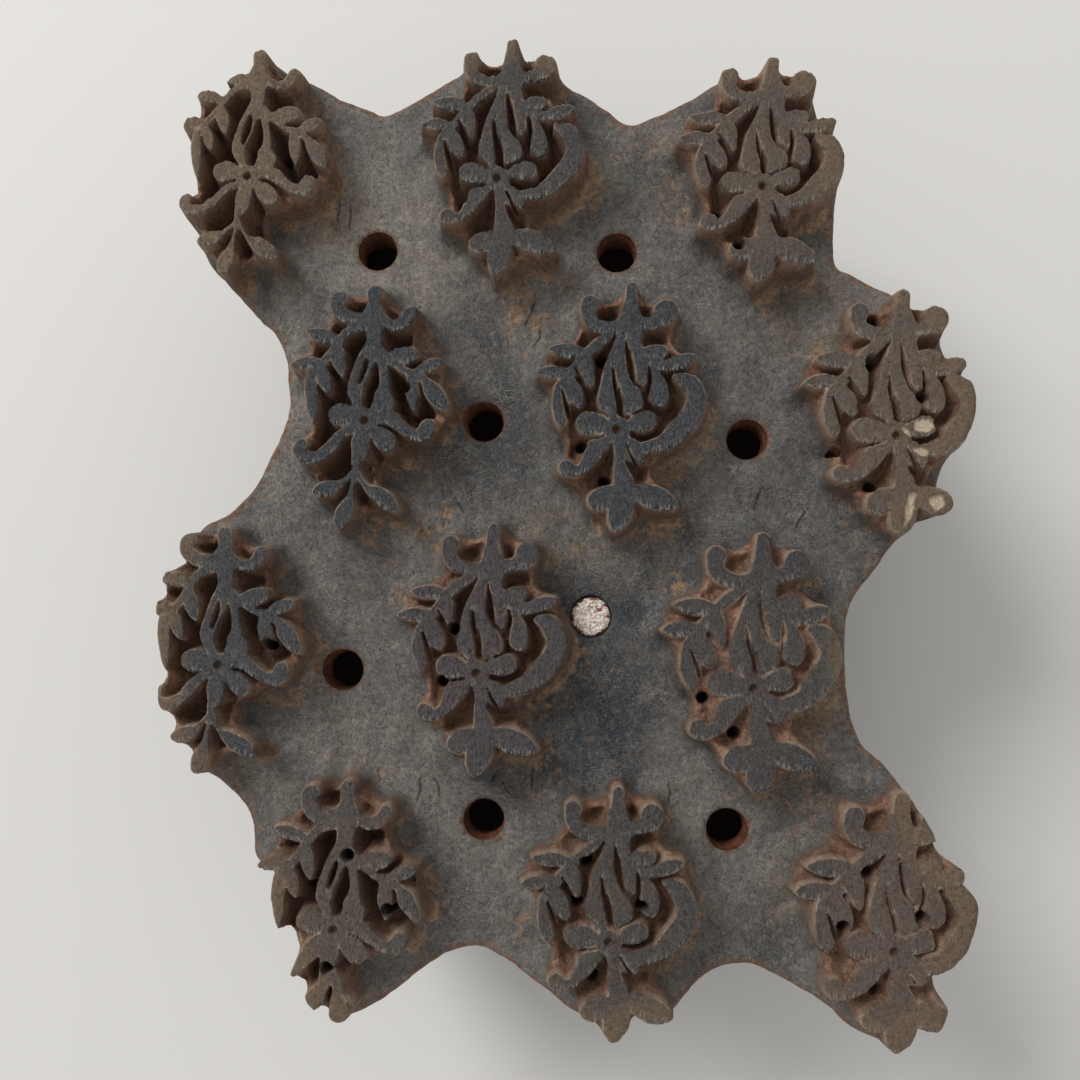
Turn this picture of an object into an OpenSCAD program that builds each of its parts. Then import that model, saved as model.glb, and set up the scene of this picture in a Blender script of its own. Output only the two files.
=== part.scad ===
// Carved wooden block for printing flower sprays on cloth, lying with its carved face up.
// The face carries three columns and four staggered rows of sprays, cut out of the block itself.
// The block stands on the grip of its handle. Lengths are millimetres and +Z is up.

/* [Pattern] */
// Distance between two sprays side by side
pitch_x = 50; // [44:0.5:60]
// Distance between two rows of sprays
pitch_y = 47; // [46:0.5:58]
// Sideways shift of every second row
stagger = 25; // [20:0.5:30]

/* [Carved block] */
// Thickness of the wood behind the carved floor
block_t = 32; // [24:1:45]
// Height of the printing faces above the floor
relief_h = 11; // [7:0.5:14]
// Height of the uncut foot that the strokes of a spray stand on
foot_h = 4; // [1:0.5:5]
// How far the foot stands out round the strokes
foot_margin = 0.8; // [0.4:0.1:2]
// Gaps between strokes narrower than twice this stay closed in the foot
foot_fill = 0.9; // [0.3:0.1:1.2]
// Gaps narrower than twice this stay uncut between the printing faces
gouge_r = 0.3; // [0.1:0.05:0.5]
// Wood left outside the drawn rim of the block
rim_margin = 0; // [0:0.1:2]

/* [Holes in the block] */
// Diameter of the vents that let air and surplus colour out
vent_d = 8; // [5:0.5:10]
// Diameter of the carver's drilled pits between the strokes
pit_d = 2.4; // [1.5:0.1:3]
// Diameter of the cross channels that the vents open into
channel_d = 9; // [8.5:0.5:12]
// Wood between the carved floor and the top of a cross channel
channel_roof = 6.5; // [4:0.5:10]

/* [Handle] */
// Length of the handle, along the grain
handle_l = 116; // [90:1:130]
// Width of the handle
handle_w = 34; // [28:1:36]
// Height of the handle, from the back of the block to its grip face
handle_h = 34; // [28:1:45]
// Radius of the finger groove along each side
groove_r = 11; // [8:0.5:12]
// Depth of the finger grooves
groove_depth = 8; // [4:0.5:10]
// Wood left between a finger groove and the end of the handle
groove_stop = 9; // [6:0.5:16]
// Radius on the long edges of the grip face
grip_r = 4; // [1:0.5:5]
// Radius on the upright corners of the handle
corner_r = 7; // [3:0.5:8]

/* [Rivet] */
// Diameter of the rivet's shank
rivet_d = 6; // [4:0.5:8]
// Diameter of the rivet's flat head in the carved face
rivet_head_d = 7.8; // [6.5:0.1:12]
// Thickness of the rivet's flat head
rivet_head_t = 1.6; // [1:0.1:3]
// Diameter of the hammered tail over the washer
rivet_tail_d = 9.5; // [8:0.5:12]
// Height of the hammered tail
rivet_tail_h = 2; // [1:0.1:3]
// Outer diameter of the washer under the tail
washer_d = 16; // [12:0.5:20]
// Thickness of the washer
washer_t = 1.6; // [1:0.1:3]
// Depth of the washer's seat in the grip face
seat_depth = 5.5; // [4.5:0.5:8]

/* [Nails] */
// Diameter of a nail
nail_d = 2.8; // [2:0.1:3.5]
// Diameter of a nail's head
nail_head_d = 6; // [5:0.1:7]
// Thickness of a nail's head
nail_head_t = 1.2; // [0.8:0.1:2]
// Depth that the nail heads are sunk below the grip face
nail_sink = 1.5; // [0.5:0.1:3]
// Length of nail in the block
nail_bite = 18; // [12:1:22]
// Distance of a nail from the handle's long centre line
nail_side = 8; // [5:0.5:9]
// Distance of a nail from the end of the handle
nail_end = 7.5; // [6:0.5:14]

/* [Fits] */
// Clearance round the shanks in the wood
shank_clearance = 0.05; // [0.02:0.01:0.3]
// Clearance round heads and washer in their seats
head_clearance = 0.4; // [0.1:0.05:0.8]

/* [Hidden] */

wood_dark = [0.36, 0.37, 0.37];
wood_handle = [0.42, 0.28, 0.18];
steel_bright = [0.85, 0.83, 0.80];
steel_rusty = [0.45, 0.33, 0.27];

columns = 3;
rows = 4;
back_z = handle_h;
floor_z = back_z + block_t;
channel_z = floor_z - channel_roof - channel_d / 2;
// How far a channel runs each way from its first vent, which is out through both sides
channel_reach = columns * pitch_x;
// Sides of the round holes and turned pieces, of the small ones and of the drilled pits
round_sides = 64;
small_sides = 32;
pit_sides = 8;
// Spans on the rivet's domed tail
dome_steps = 5;
// How far a cutter runs past the face that it opens
past = 1;
// Points on each span of the smooth rim
rim_steps = 2;
// Spans along one side of a leaf, in the strokes and in their foot
leaf_steps = 4;
foot_leaf_steps = 3;

// Where the spray in this column and row has its flower
function spray_at(col, row) = [
    (col - (columns - 1) / 2) * pitch_x + (row % 2) * stagger,
    ((rows - 1) / 2 - row) * pitch_y
];

// Smooth lines through hand-set points

function spline_at(a, b, c, d, t) =
    (2 * b + (c - a) * t + (2 * a - 5 * b + 4 * c - d) * t * t
    + (3 * b - a - 3 * c + d) * t * t * t) / 2;
function knot(p, i) = p[max(0, min(len(p) - 1, i))];
function ring_knot(p, i) = p[(i + len(p)) % len(p)];
function smooth_ring(p, n) = [for (i = [0:len(p) - 1]) for (k = [0:n - 1])
    spline_at(ring_knot(p, i - 1), p[i], ring_knot(p, i + 1), ring_knot(p, i + 2), k / n)];
function left_of(s, i) = let (d = knot(s, i + 1) - knot(s, i - 1)) [-d.y, d.x] / norm([d.x, d.y]);

// Outline of a stroke along points [x, y, half width]
function stroke_outline(s) = concat(
    [for (i = [0:len(s) - 1]) [s[i].x, s[i].y] + s[i].z * left_of(s, i)],
    [for (i = [len(s) - 1:-1:0]) [s[i].x, s[i].y] - s[i].z * left_of(s, i)]
);

// Outline of a leaf [base x, base y, tip x, tip y, width, place of the widest part, fullness].
// Its half width is a half sine wave along its length, raised to the fullness.
function leaf_half(leaf, t) =
    leaf[4] / 2 * pow(sin(180 * pow(t, ln(0.5) / ln(leaf[5]))), leaf[6]);
function leaf_side(leaf, t, side) = let (
    base = [leaf[0], leaf[1]],
    axis = [leaf[2], leaf[3]] - base
) base + axis * t + side * leaf_half(leaf, t) * [-axis.y, axis.x] / norm(axis);
function leaf_outline(leaf, n) = concat(
    [for (i = [0:n]) leaf_side(leaf, i / n, 1)],
    [for (i = [n - 1:-1:1]) leaf_side(leaf, i / n, -1)]
);

// The spray of the two right-hand columns, measured from its flower.
// Strokes hold [x, y, half width].
full_strokes = [
    // Bud at the top and its neck
    [[2.2, 27.4, 1.2], [2.0, 25, 1.3], [2.1, 22.5, 1.9], [2.2, 20.3, 2.5], [1.6, 18, 2.4]],
    // Curl to the upper right
    [[2.5, 20, 1.6], [4.6, 20.5, 1.3], [6.6, 20.9, 1.4], [8.2, 21.9, 2.0], [8.6, 22.9, 2.3]],
    // Curl to the upper left
    [[1, 20, 1.6], [-2, 19.7, 1.2], [-4.5, 20.2, 1.4], [-6.0, 22, 1.4], [-5.8, 24.3, 1.7]],
    // Main branch to the left
    [[1.5, 18.5, 1.4], [-2.2, 17.7, 1.0], [-4.6, 16, 1.0], [-6.8, 13.4, 1.0], [-9, 10.6, 1.0],
        [-10.8, 8, 1.0]],
    // Strand down the right of the middle
    [[2.8, 18.8, 1.4], [3.5, 15.2, 1.2], [4.3, 11.4, 1.2], [4.2, 8.4, 0.7]],
    // Link to the leaves on the right
    [[4, 13.6, 1.0], [6.5, 13, 1.1], [8.8, 12.6, 1.1]],
    // Large crescent on the right
    [[11.2, 10.6, 0.8], [13.4, 9.4, 1.8], [14.8, 6.3, 1.9], [13.8, 3, 2.1], [11.4, 0.1, 2.0],
        [8.6, -2.2, 1.6],
        [5.4, -3.2, 1.2]],
    // Curl to the lower left
    [[-1, -1.4, 1.2], [-3.5, -3.2, 1.9], [-4.6, -5.2, 1.6], [-6.2, -7.4, 1.1], [-8, -8.1, 1.2],
        [-9.2, -7.6, 1.7]],
    // Lower stem
    [[0.7, -1, 1.5], [0.9, -5, 1.1], [1.0, -7.2, 1.3], [1.6, -9.6, 1.9], [1.9, -12, 2.3]]
];
full_leaves = [
    // Two outer and two inner leaves of the left branch, and the leaf at its end
    [-5.6, 14.8, -13.4, 15.2, 3.0, 0.5, 0.8],
    [-8.6, 11, -15.4, 10.6, 2.8, 0.5, 0.8],
    [-6.6, 14.2, -4.8, 7.6, 3.2, 0.45, 0.8],
    [-9.6, 10.6, -7.0, 4.0, 3.2, 0.55, 0.7],
    [-10.8, 9.2, -10.4, -0.2, 3.6, 0.5, 0.7],
    // Two lobes hanging in the middle
    [-0.2, 18, -1.4, 2.6, 4.2, 0.75, 0.9],
    [0.6, 18, 2.2, 2.8, 4.0, 0.8, 0.9],
    // Leaves on the right
    [3.4, 14.6, 9.2, 15.4, 3.2, 0.6, 0.5],
    [8.2, 12.2, 14.8, 14.6, 2.9, 0.5, 0.7],
    [6.2, 13, 8.3, 4.6, 4.2, 0.6, 0.7],
    // Petals
    [-1.5, 0.8, -7.6, 1.2, 4.6, 0.6, 0.5],
    [1.5, 0.8, 7.5, 2.4, 4.0, 0.65, 0.5],
    [1.4, -1.4, 5.2, -6.0, 4.0, 0.5, 0.8],
    // Tail
    [1.5, -11, -4.9, -14.2, 4.4, 0.6, 0.5],
    [2.4, -11, 12, -14.2, 4.8, 0.5, 0.8],
    [2.2, -10.5, 0.2, -19.4, 5.0, 0.5, 0.9]
];

// The spray of the left-hand column, measured from its flower
open_strokes = [
    // Bud at the top and its neck
    [[0.8, 24.9, 1.6], [0.8, 22.5, 1.4], [0.8, 20.5, 2.1], [1, 18.3, 1.8]],
    // Curl to the upper left
    [[0, 20.3, 1.5], [-2.2, 19.8, 1.3], [-4.6, 20, 1.6], [-6.3, 21.6, 1.5], [-6.4, 23.4, 1.5],
        [-5.5, 24, 1.3]],
    // Curl to the upper right
    [[1.6, 20.2, 1.4], [3.4, 19.2, 1.2], [5, 18.7, 1.2], [6.7, 19.4, 1.3], [8.0, 21.2, 1.4]],
    // Main branch to the left
    [[0.4, 19, 1.4], [-3.3, 17.7, 1.0], [-5.2, 15.9, 1.0], [-6.8, 13.2, 0.9], [-8.7, 10.8, 0.9],
        [-10.6, 8.2, 0.9]],
    // Stem down the middle
    [[1, 19, 1.8], [1, 15.5, 1.6], [1, 13, 1.5]],
    // Strand on the left of the middle
    [[0, 14.4, 0.9], [-1.5, 11.4, 0.8], [-2.5, 8, 0.9], [-2.3, 5.4, 1.3], [-1.2, 2.6, 0.9]],
    // Thin strand inside it
    [[0.9, 12.4, 0.9], [0.2, 9.6, 0.5], [-0.8, 7, 0.5], [-1.6, 5, 0.6]],
    // Strand on the right of the middle
    [[2, 13.6, 1.1], [2.9, 10, 0.95], [3.3, 7, 1.1], [3.0, 4.8, 1.7]],
    // Sprig to the right
    [[2.4, 13, 1.1], [4.8, 11.3, 0.9], [7, 9.8, 0.8], [9.2, 9.2, 0.9], [11.2, 8, 0.8]],
    // Curl on the right of the flower
    [[1.8, 0.6, 1.0], [4.8, 0.6, 1.6], [6.8, -0.9, 1.3], [9, -2.3, 1.2], [11.2, -2.4, 1.6],
        [12.1, -0.8, 1.6]],
    // Curl on the left of the flower
    [[-1.4, -1.4, 0.9], [-4.2, -2.8, 1.1], [-6.2, -5.2, 1.2], [-8.6, -7, 1.2], [-11, -7.2, 1.4],
        [-12.2, -6, 1.4], [-11.9, -4.9, 1.3]],
    // Lower stem and its bud
    [[0.2, -1.6, 1.1], [-0.5, -4, 1.8], [-0.6, -6, 1.6], [-1.3, -8, 0.9], [-1.3, -10, 0.8]],
    // Stalks of the tail
    [[-1.4, -9.6, 0.7], [-3.2, -11.2, 0.6], [-4.6, -12.4, 0.8]],
    [[-1.2, -10, 0.7], [-1.8, -12.6, 0.6], [-2.2, -15, 0.8]],
    [[-1, -10, 0.7], [0.2, -12, 0.6], [1.6, -13.6, 0.8]]
];
open_leaves = [
    // Two outer and two inner leaves of the left branch, and the leaf at its end
    [-5.2, 15.2, -12.6, 17.2, 2.9, 0.5, 0.8],
    [-8.6, 11.2, -15.2, 10.2, 2.9, 0.5, 0.8],
    [-6.4, 14.8, -4.6, 8.2, 3.0, 0.45, 0.8],
    [-9.2, 10.8, -7.2, 4.8, 2.8, 0.5, 0.8],
    [-11, 9.6, -10, -1.2, 2.8, 0.4, 0.8],
    // Leaves of the right sprig
    [3.6, 11.8, 9.6, 13.4, 3.8, 0.5, 0.5],
    [8.6, 9.2, 14.4, 12, 2.8, 0.55, 0.7],
    [8.4, 9.4, 9.4, 2.0, 3.0, 0.4, 0.8],
    [10.8, 8.6, 15.8, 2.0, 3.6, 0.5, 0.8],
    // Petals
    [-1.5, 1, -7, 1.1, 4.8, 0.6, 0.5],
    [1, 1.6, 5.2, 4.6, 4.2, 0.65, 0.5],
    [1.4, -1.2, 5.8, -5.4, 4.2, 0.6, 0.6],
    // Tail
    [-3.6, -12, -9.2, -14, 3.3, 0.55, 0.7],
    [-1.8, -13.8, -4.2, -20.6, 3.6, 0.6, 0.7],
    [0.6, -12.6, 7.6, -17.2, 3.6, 0.5, 0.8]
];

// Radius of the flower's eye
flower_r = 2.6;

// Every spray as the carver cut it: [column, row, drift right, drift up, turn, bend of the tail,
// [left, right] shares of the width, [lower, upper] shares of the length]
sprays = [
    [0, 0, 0.6, 0.5, -0.5, 0, [1, 1], [0.95, 0.99]],
    [1, 0, -0.6, 0.8, 0, 0, [1.02, 1], [0.98, 0.99]],
    [2, 0, 0, 0, 1, -4, [1.05, 0.93], [0.96, 0.9]],
    [0, 1, 1, 0, 0, 0, [1, 1], [1, 1]],
    [1, 1, -1.2, -0.5, 0, 0, [1, 1], [1, 1]],
    [2, 1, 0.5, -0.2, 2, -1, [1.08, 0.93], [0.95, 0.97]],
    [0, 2, 0.5, -0.2, 2.5, 0, [1, 1], [0.98, 1]],
    [1, 2, -0.8, 0.2, 0, 0, [1, 1], [0.98, 0.98]],
    [2, 2, 0.2, -0.7, 2, 0, [1.08, 0.96], [0.98, 1]],
    [0, 3, -0.2, -0.5, -1.5, 20, [1, 1.02], [0.85, 1.03]],
    [1, 3, 0.2, -0.2, 2.5, 0, [1.05, 0.95], [0.92, 0.98]],
    [2, 3, 1, 0.7, 2, -1, [1.12, 0.92], [0.9, 0.97]]
];
// Distance below the flower at which the tail has all of its bend
bend_reach = 10;

// Drilled pits: [column, row, right, up] from the place of a spray
pits = [
    [0, 0, 7, 6], [0, 0, -5.5, 4.5],
    [1, 0, -7.3, -3], [1, 0, 8.4, 2.6],
    [2, 0, -8.2, -4.4], [2, 0, -4.2, -11.2],
    [0, 1, 8.2, 6.7], [0, 1, -5.9, 4], [0, 1, -2.3, -8.8],
    [1, 1, -7.7, -3.2], [1, 1, -3.2, -9.9], [1, 1, -4.5, 13.5],
    [2, 1, -9.7, -2.9], [2, 1, -3.3, -9.6], [2, 1, -4, 13.8], [2, 1, 5.2, 7.3], [2, 1, -3.4, 22],
    [0, 2, 9.6, 4], [0, 2, -2.6, -8],
    [1, 2, -7.4, -1.6], [1, 2, -5.4, 8.2],
    [2, 2, -8.8, -2.8], [2, 2, -2.9, -9],
    [0, 3, 1.8, 13], [0, 3, -5.2, 6.6], [0, 3, 9.6, 3.5], [0, 3, -1.2, -7.4],
    [1, 3, -4.4, 13.6], [1, 3, -5.8, 6], [1, 3, 6, 6.2], [1, 3, -2.6, -7.4],
    [2, 3, -3.7, 14.2], [2, 3, -8, 4.5], [2, 3, 5.9, 6.7], [2, 3, -2, -6.6]
];

function strokes_of(spray) = spray[0] == 0 ? open_strokes : full_strokes;
function leaves_of(spray) = spray[0] == 0 ? open_leaves : full_leaves;
function from_spray(e) = spray_at(e[0], e[1]) + [e[2], e[3]];
function share(v, shares) = v * (v < 0 ? shares[0] : shares[1]);
// Place of a spray's own point on the block
function placed(spray, p) = let (
    x = share(p.x, spray[6]),
    y = share(p.y, spray[7]),
    a = spray[4] + spray[5] * max(0, min(1, -p.y / bend_reach))
) from_spray(spray) + [x * cos(a) - y * sin(a), x * sin(a) + y * cos(a)];

// Sawn rim of the block, clockwise from the top left spray: [column, row, right, up],
// each point measured from the place of the spray that it follows
rim = [
    [0, 0, -12.8, 12.5], [0, 0, -11.2, 16], [0, 0, -9.4, 18.2], [0, 0, -6, 18.6], [0, 0, -4.2, 20.6],
    [0, 0, -1, 22.8], [0, 0, -0.4, 25.4], [0, 0, 1.2, 26.8], [0, 0, 3.4, 26.8], [0, 0, 8.4, 25],
    [0, 0, 11.5, 23.4], [0, 0, 17, 21], [0, 0, 22, 19.3], [0, 0, 24.5, 18.5],
    [1, 0, -22, 19.7], [1, 0, -16, 23.5], [1, 0, -12, 25.8], [1, 0, -8, 27.6], [1, 0, -4, 28.4],
    [1, 0, 0.8, 29.4], [1, 0, 5, 28.8], [1, 0, 8.6, 27.2], [1, 0, 11, 24.8], [1, 0, 16, 22.6],
    [1, 0, 20, 20], [1, 0, 24.5, 17],
    [2, 0, -20, 19], [2, 0, -13, 22.5], [2, 0, -8.4, 25], [2, 0, -5, 26.2], [2, 0, 1.5, 26.6],
    [2, 0, 4.6, 25.4], [2, 0, 9, 23.2], [2, 0, 11.6, 19.6], [2, 0, 13.3, 15.2], [2, 0, 14.8, 11],
    [2, 0, 15.7, 6], [2, 0, 15.8, 0], [2, 0, 15.8, -8], [2, 0, 16.6, -11.8],
    [2, 1, -5.5, 33.8], [2, 1, -1.5, 31.4], [2, 1, 2, 29.6], [2, 1, 6.4, 27], [2, 1, 10.2, 24.6],
    [2, 1, 11.6, 20], [2, 1, 13.2, 14.6], [2, 1, 14.8, 10], [2, 1, 15.3, 6.3], [2, 1, 14.6, 2.5],
    [2, 1, 13.2, -1.5], [2, 1, 11.8, -5], [2, 1, 11.2, -9], [2, 1, 11.2, -13], [2, 1, 9.5, -14.7],
    [2, 1, 6.3, -15.6], [2, 1, 3, -19], [2, 1, 0, -24],
    [2, 2, 22, 19], [2, 2, 19.6, 14.5], [2, 2, 18.8, 7.5], [2, 2, 19.2, 1.5], [2, 2, 20.5, -5.5],
    [2, 2, 22.6, -11], [2, 2, 26, -14],
    [2, 3, 4.4, 28.6], [2, 3, 6.2, 24.6], [2, 3, 8, 21.5], [2, 3, 9.6, 18], [2, 3, 13.2, 15.4],
    [2, 3, 13.8, 12.8], [2, 3, 15.6, 10.2], [2, 3, 16, 7.6], [2, 3, 15.2, 4.3], [2, 3, 14, 1],
    [2, 3, 11.8, -2], [2, 3, 11, -6], [2, 3, 10.6, -10], [2, 3, 9.2, -13], [2, 3, 5.6, -14],
    [2, 3, 3.8, -16.2], [2, 3, 1, -17.4], [2, 3, -2, -17], [2, 3, -5, -15.6], [2, 3, -8.6, -12.4],
    [2, 3, -16, -8.6], [2, 3, -21, -6.5],
    [1, 3, 25.5, -6], [1, 3, 22, -6.6], [1, 3, 19, -8.4], [1, 3, 15.6, -11.6], [1, 3, 12.2, -14.3],
    [1, 3, 8.4, -14.8], [1, 3, 4.4, -15.6], [1, 3, 2.6, -17.8], [1, 3, -0.6, -18.2],
    [1, 3, -3.4, -17], [1, 3, -6.9, -15.6], [1, 3, -11.2, -12.6], [1, 3, -15.4, -9.8], [1, 3, -19.8, -7],
    [0, 3, 25, -5.3], [0, 3, 19.5, -7], [0, 3, 14.5, -10.4], [0, 3, 9.2, -14.8], [0, 3, 4.6, -17.6],
    [0, 3, 1.6, -18.2], [0, 3, -1.2, -16.6], [0, 3, -3.6, -15.2], [0, 3, -5.4, -12.6], [0, 3, -8, -9.6],
    [0, 3, -9.4, -6], [0, 3, -10.8, -2], [0, 3, -12.6, 1.4], [0, 3, -13.6, 4.6], [0, 3, -15, 7.4],
    [0, 3, -18.4, 9.6], [0, 3, -19.2, 13.5], [0, 3, -20.4, 18],
    [0, 2, 2, -26], [0, 2, -3, -21.6], [0, 2, -5.6, -18], [0, 2, -8, -14.6], [0, 2, -8.8, -11.4],
    [0, 2, -10.8, -7.4], [0, 2, -11.2, -3], [0, 2, -11.6, 2], [0, 2, -12.1, 6], [0, 2, -12.3, 11],
    [0, 2, -11.4, 16], [0, 2, -9.8, 19.6], [0, 2, -8.6, 23.4], [0, 2, -7.2, 27], [0, 2, -2.3, 30],
    [0, 2, 1.5, 34.5],
    [0, 1, -20.5, -6.5], [0, 1, -18, -0.5], [0, 1, -17, 4], [0, 1, -17.2, 9], [0, 1, -18, 14],
    [0, 1, -20.5, 19],
    [0, 0, 1.5, -25.5], [0, 0, -2.8, -21], [0, 0, -5.6, -17.8], [0, 0, -8.8, -15], [0, 0, -10.8, -10],
    [0, 0, -12.9, -6.4], [0, 0, -13.5, -3.6], [0, 0, -12.7, 0.6], [0, 0, -12.4, 5], [0, 0, -13, 9]
];
rim_points = [for (e = rim) from_spray(e)];

// Vents: [column, row, right, up] from the place of a spray
vents = [
    [0, 0, 24.6, -10.2], [1, 0, 22.9, -9.6], [0, 1, 22.6, 2.4], [1, 1, 24.5, 0.2],
    [0, 2, 21.8, -0.6], [1, 2, 0.7, -28.3], [2, 2, -2.7, -28.1]
];
// The two vents that each cross channel is drilled under, by their places in that list.
// A channel with one vent runs straight across.
channels = [[0, 1], [2, 3], [4, 4], [5, 6]];
// The rivet, in the same way
rivet_place = [1, 2, 20, 11.5];

// Everything is set from the middle of the block's own bounding box
rim_line = smooth_ring(rim_points, rim_steps);
rim_x = [for (p = rim_line) p.x];
rim_y = [for (p = rim_line) p.y];
middle = [min(rim_x) + max(rim_x), min(rim_y) + max(rim_y)] / 2;

rivet_xy = from_spray(rivet_place) - middle;
nail_xy = [for (sx = [-1, 1]) for (sy = [-1, 1])
    rivet_xy + [sx * nail_side, sy * (handle_l / 2 - nail_end)]];
nail_tip_z = back_z + nail_bite;
// From the handle's centre line to the centre of a finger groove
groove_off = handle_w / 2 + groove_r - groove_depth;

// Flat drawings of the carved face

module spray_drawing(spray, n) {
    for (leaf = leaves_of(spray)) polygon([for (p = leaf_outline(leaf, n)) placed(spray, p)]);
    for (line = strokes_of(spray)) {
        polygon([for (p = stroke_outline(line)) placed(spray, p)]);
        for (tip = [line[0], line[len(line) - 1]])
            translate(placed(spray, tip)) circle(r = tip.z, $fn = 2 * n);
    }
    translate(placed(spray, [0, 0])) circle(r = flower_r, $fn = 3 * n);
}

module pits_drawing() {
    for (p = pits) translate(from_spray(p)) circle(d = pit_d, $fn = pit_sides);
}

module slab_drawing() {
    offset(delta = rim_margin) polygon(rim_line);
}

// The printing faces: the strokes, cut off where the block is sawn, less the drilled pits
module strokes_drawing() {
    offset(delta = -gouge_r) offset(delta = gouge_r) difference() {
        intersection() {
            slab_drawing();
            for (s = sprays) spray_drawing(s, leaf_steps);
        }
        pits_drawing();
    }
}

// The feet: the strokes grown by their margin, with narrow gaps closed
module feet_drawing() {
    difference() {
        intersection() {
            slab_drawing();
            offset(delta = -foot_fill) offset(delta = foot_fill + foot_margin)
                for (s = sprays) spray_drawing(s, foot_leaf_steps);
        }
        pits_drawing();
    }
}

// Pieces

// Round hole or peg on an upright axis at xy, from one height to another
module bore(xy, d, from_z, to_z, sides) {
    translate([xy.x, xy.y, from_z]) cylinder(d = d, h = to_z - from_z, $fn = sides);
}

// Channel across the block below its vents, out through both sides
module cross_channel(pair) {
    start = from_spray(vents[pair[0]]);
    way = from_spray(vents[pair[1]]) - start;
    translate([start.x - middle.x, start.y - middle.y, channel_z])
        rotate([0, 0, atan2(way.y, way.x)]) rotate([0, 90, 0]) translate([0, 0, -channel_reach])
            cylinder(d = channel_d, h = 2 * channel_reach, $fn = round_sides);
}

module slab() {
    difference() {
        translate([-middle.x, -middle.y, back_z])
            linear_extrude(block_t) slab_drawing();
        for (v = vents)
            bore(from_spray(v) - middle, vent_d, channel_z, floor_z + past, round_sides);
        for (pair = channels) cross_channel(pair);
        bore(rivet_xy, rivet_d + 2 * shank_clearance, back_z - past, floor_z + past, round_sides);
        bore(rivet_xy, rivet_head_d + 2 * head_clearance, floor_z - rivet_head_t, floor_z + past,
            round_sides);
        for (n = nail_xy)
            bore(n, nail_d + 2 * shank_clearance, back_z - past, nail_tip_z + head_clearance, small_sides);
    }
}

module carved_block() {
    color(wood_dark) {
        slab();
        translate([-middle.x, -middle.y, floor_z])
            linear_extrude(foot_h) feet_drawing();
        translate([-middle.x, -middle.y, floor_z + foot_h])
            linear_extrude(relief_h - foot_h) strokes_drawing();
    }
}

// Finger groove: a round-ended rod along Y, sunk into the side of the handle
module finger_groove() {
    rod_l = handle_l - 2 * groove_stop;
    translate([0, rod_l / 2, 0]) rotate([90, 0, 0]) rotate_extrude($fn = round_sides)
        intersection() {
            square([groove_r, rod_l]);
            union() {
                translate([0, groove_r]) square([groove_r, rod_l - 2 * groove_r]);
                for (end = [groove_r, rod_l - groove_r])
                    translate([0, end]) circle(r = groove_r, $fn = round_sides);
            }
        }
}

module rounded_plan(w, l, r) {
    square([w - 2 * r, l], center = true);
    square([w, l - 2 * r], center = true);
    for (sx = [-1, 1])
        for (sy = [-1, 1])
            translate([sx * (w / 2 - r), sy * (l / 2 - r)]) circle(r = r, $fn = round_sides);
}

// Upright section of the bar across its length, with the grip edges rounded
module grip_section() {
    translate([-handle_w / 2, grip_r]) square([handle_w, handle_h - grip_r]);
    translate([-handle_w / 2 + grip_r, 0]) square([handle_w - 2 * grip_r, grip_r]);
    for (side = [-1, 1])
        translate([side * (handle_w / 2 - grip_r), grip_r]) circle(r = grip_r, $fn = round_sides);
}

module handle() {
    color(wood_handle) difference() {
        translate([rivet_xy.x, rivet_xy.y, 0]) intersection() {
            linear_extrude(handle_h) rounded_plan(handle_w, handle_l, corner_r);
            translate([0, handle_l / 2 + past, 0]) rotate([90, 0, 0])
                linear_extrude(handle_l + 2 * past) grip_section();
        }
        for (side = [-1, 1])
            translate([rivet_xy.x + side * groove_off, rivet_xy.y, handle_h / 2]) finger_groove();
        bore(rivet_xy, rivet_d + 2 * shank_clearance, -past, handle_h + past, round_sides);
        bore(rivet_xy, washer_d + 2 * head_clearance, -past, seat_depth, round_sides);
        for (n = nail_xy) {
            bore(n, nail_d + 2 * shank_clearance, -past, handle_h + past, small_sides);
            bore(n, nail_head_d + 2 * head_clearance, -past, nail_sink + nail_head_t, small_sides);
        }
    }
}

// Flat head flush in the carved floor, shank, and a tail hammered over the washer.
// The tail is a low dome: half an ellipse.
module rivet() {
    tail_z = seat_depth - washer_t;
    color(steel_bright) translate([rivet_xy.x, rivet_xy.y, 0]) rotate_extrude($fn = round_sides)
        polygon(concat(
            [for (i = [0:dome_steps]) let (a = 90 * i / dome_steps)
                [rivet_tail_d / 2 * sin(a), tail_z - rivet_tail_h * cos(a)]],
            [
                [rivet_d / 2, tail_z],
                [rivet_d / 2, floor_z - rivet_head_t],
                [rivet_head_d / 2, floor_z - rivet_head_t],
                [rivet_head_d / 2, floor_z],
                [0, floor_z]
            ]
        ));
}

module rivet_washer() {
    color(steel_rusty) difference() {
        bore(rivet_xy, washer_d, seat_depth - washer_t, seat_depth, round_sides);
        bore(rivet_xy, rivet_d + 2 * shank_clearance, -past, seat_depth + past, round_sides);
    }
}

// Nails through both ends of the handle, which keep it from turning about the rivet.
// Their points taper over one diameter.
module handle_nails() {
    color(steel_rusty) for (n = nail_xy)
        translate([n.x, n.y, 0]) rotate_extrude($fn = small_sides)
            polygon([
                [0, nail_sink],
                [nail_head_d / 2, nail_sink],
                [nail_head_d / 2, nail_sink + nail_head_t],
                [nail_d / 2, nail_sink + nail_head_t],
                [nail_d / 2, nail_tip_z - nail_d],
                [0, nail_tip_z]
            ]);
}

carved_block();
handle();
rivet();
rivet_washer();
handle_nails();
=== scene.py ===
import math
import bpy
import numpy as np
from mathutils import Matrix, Vector
from mathutils.geometry import delaunay_2d_cdt


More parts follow.
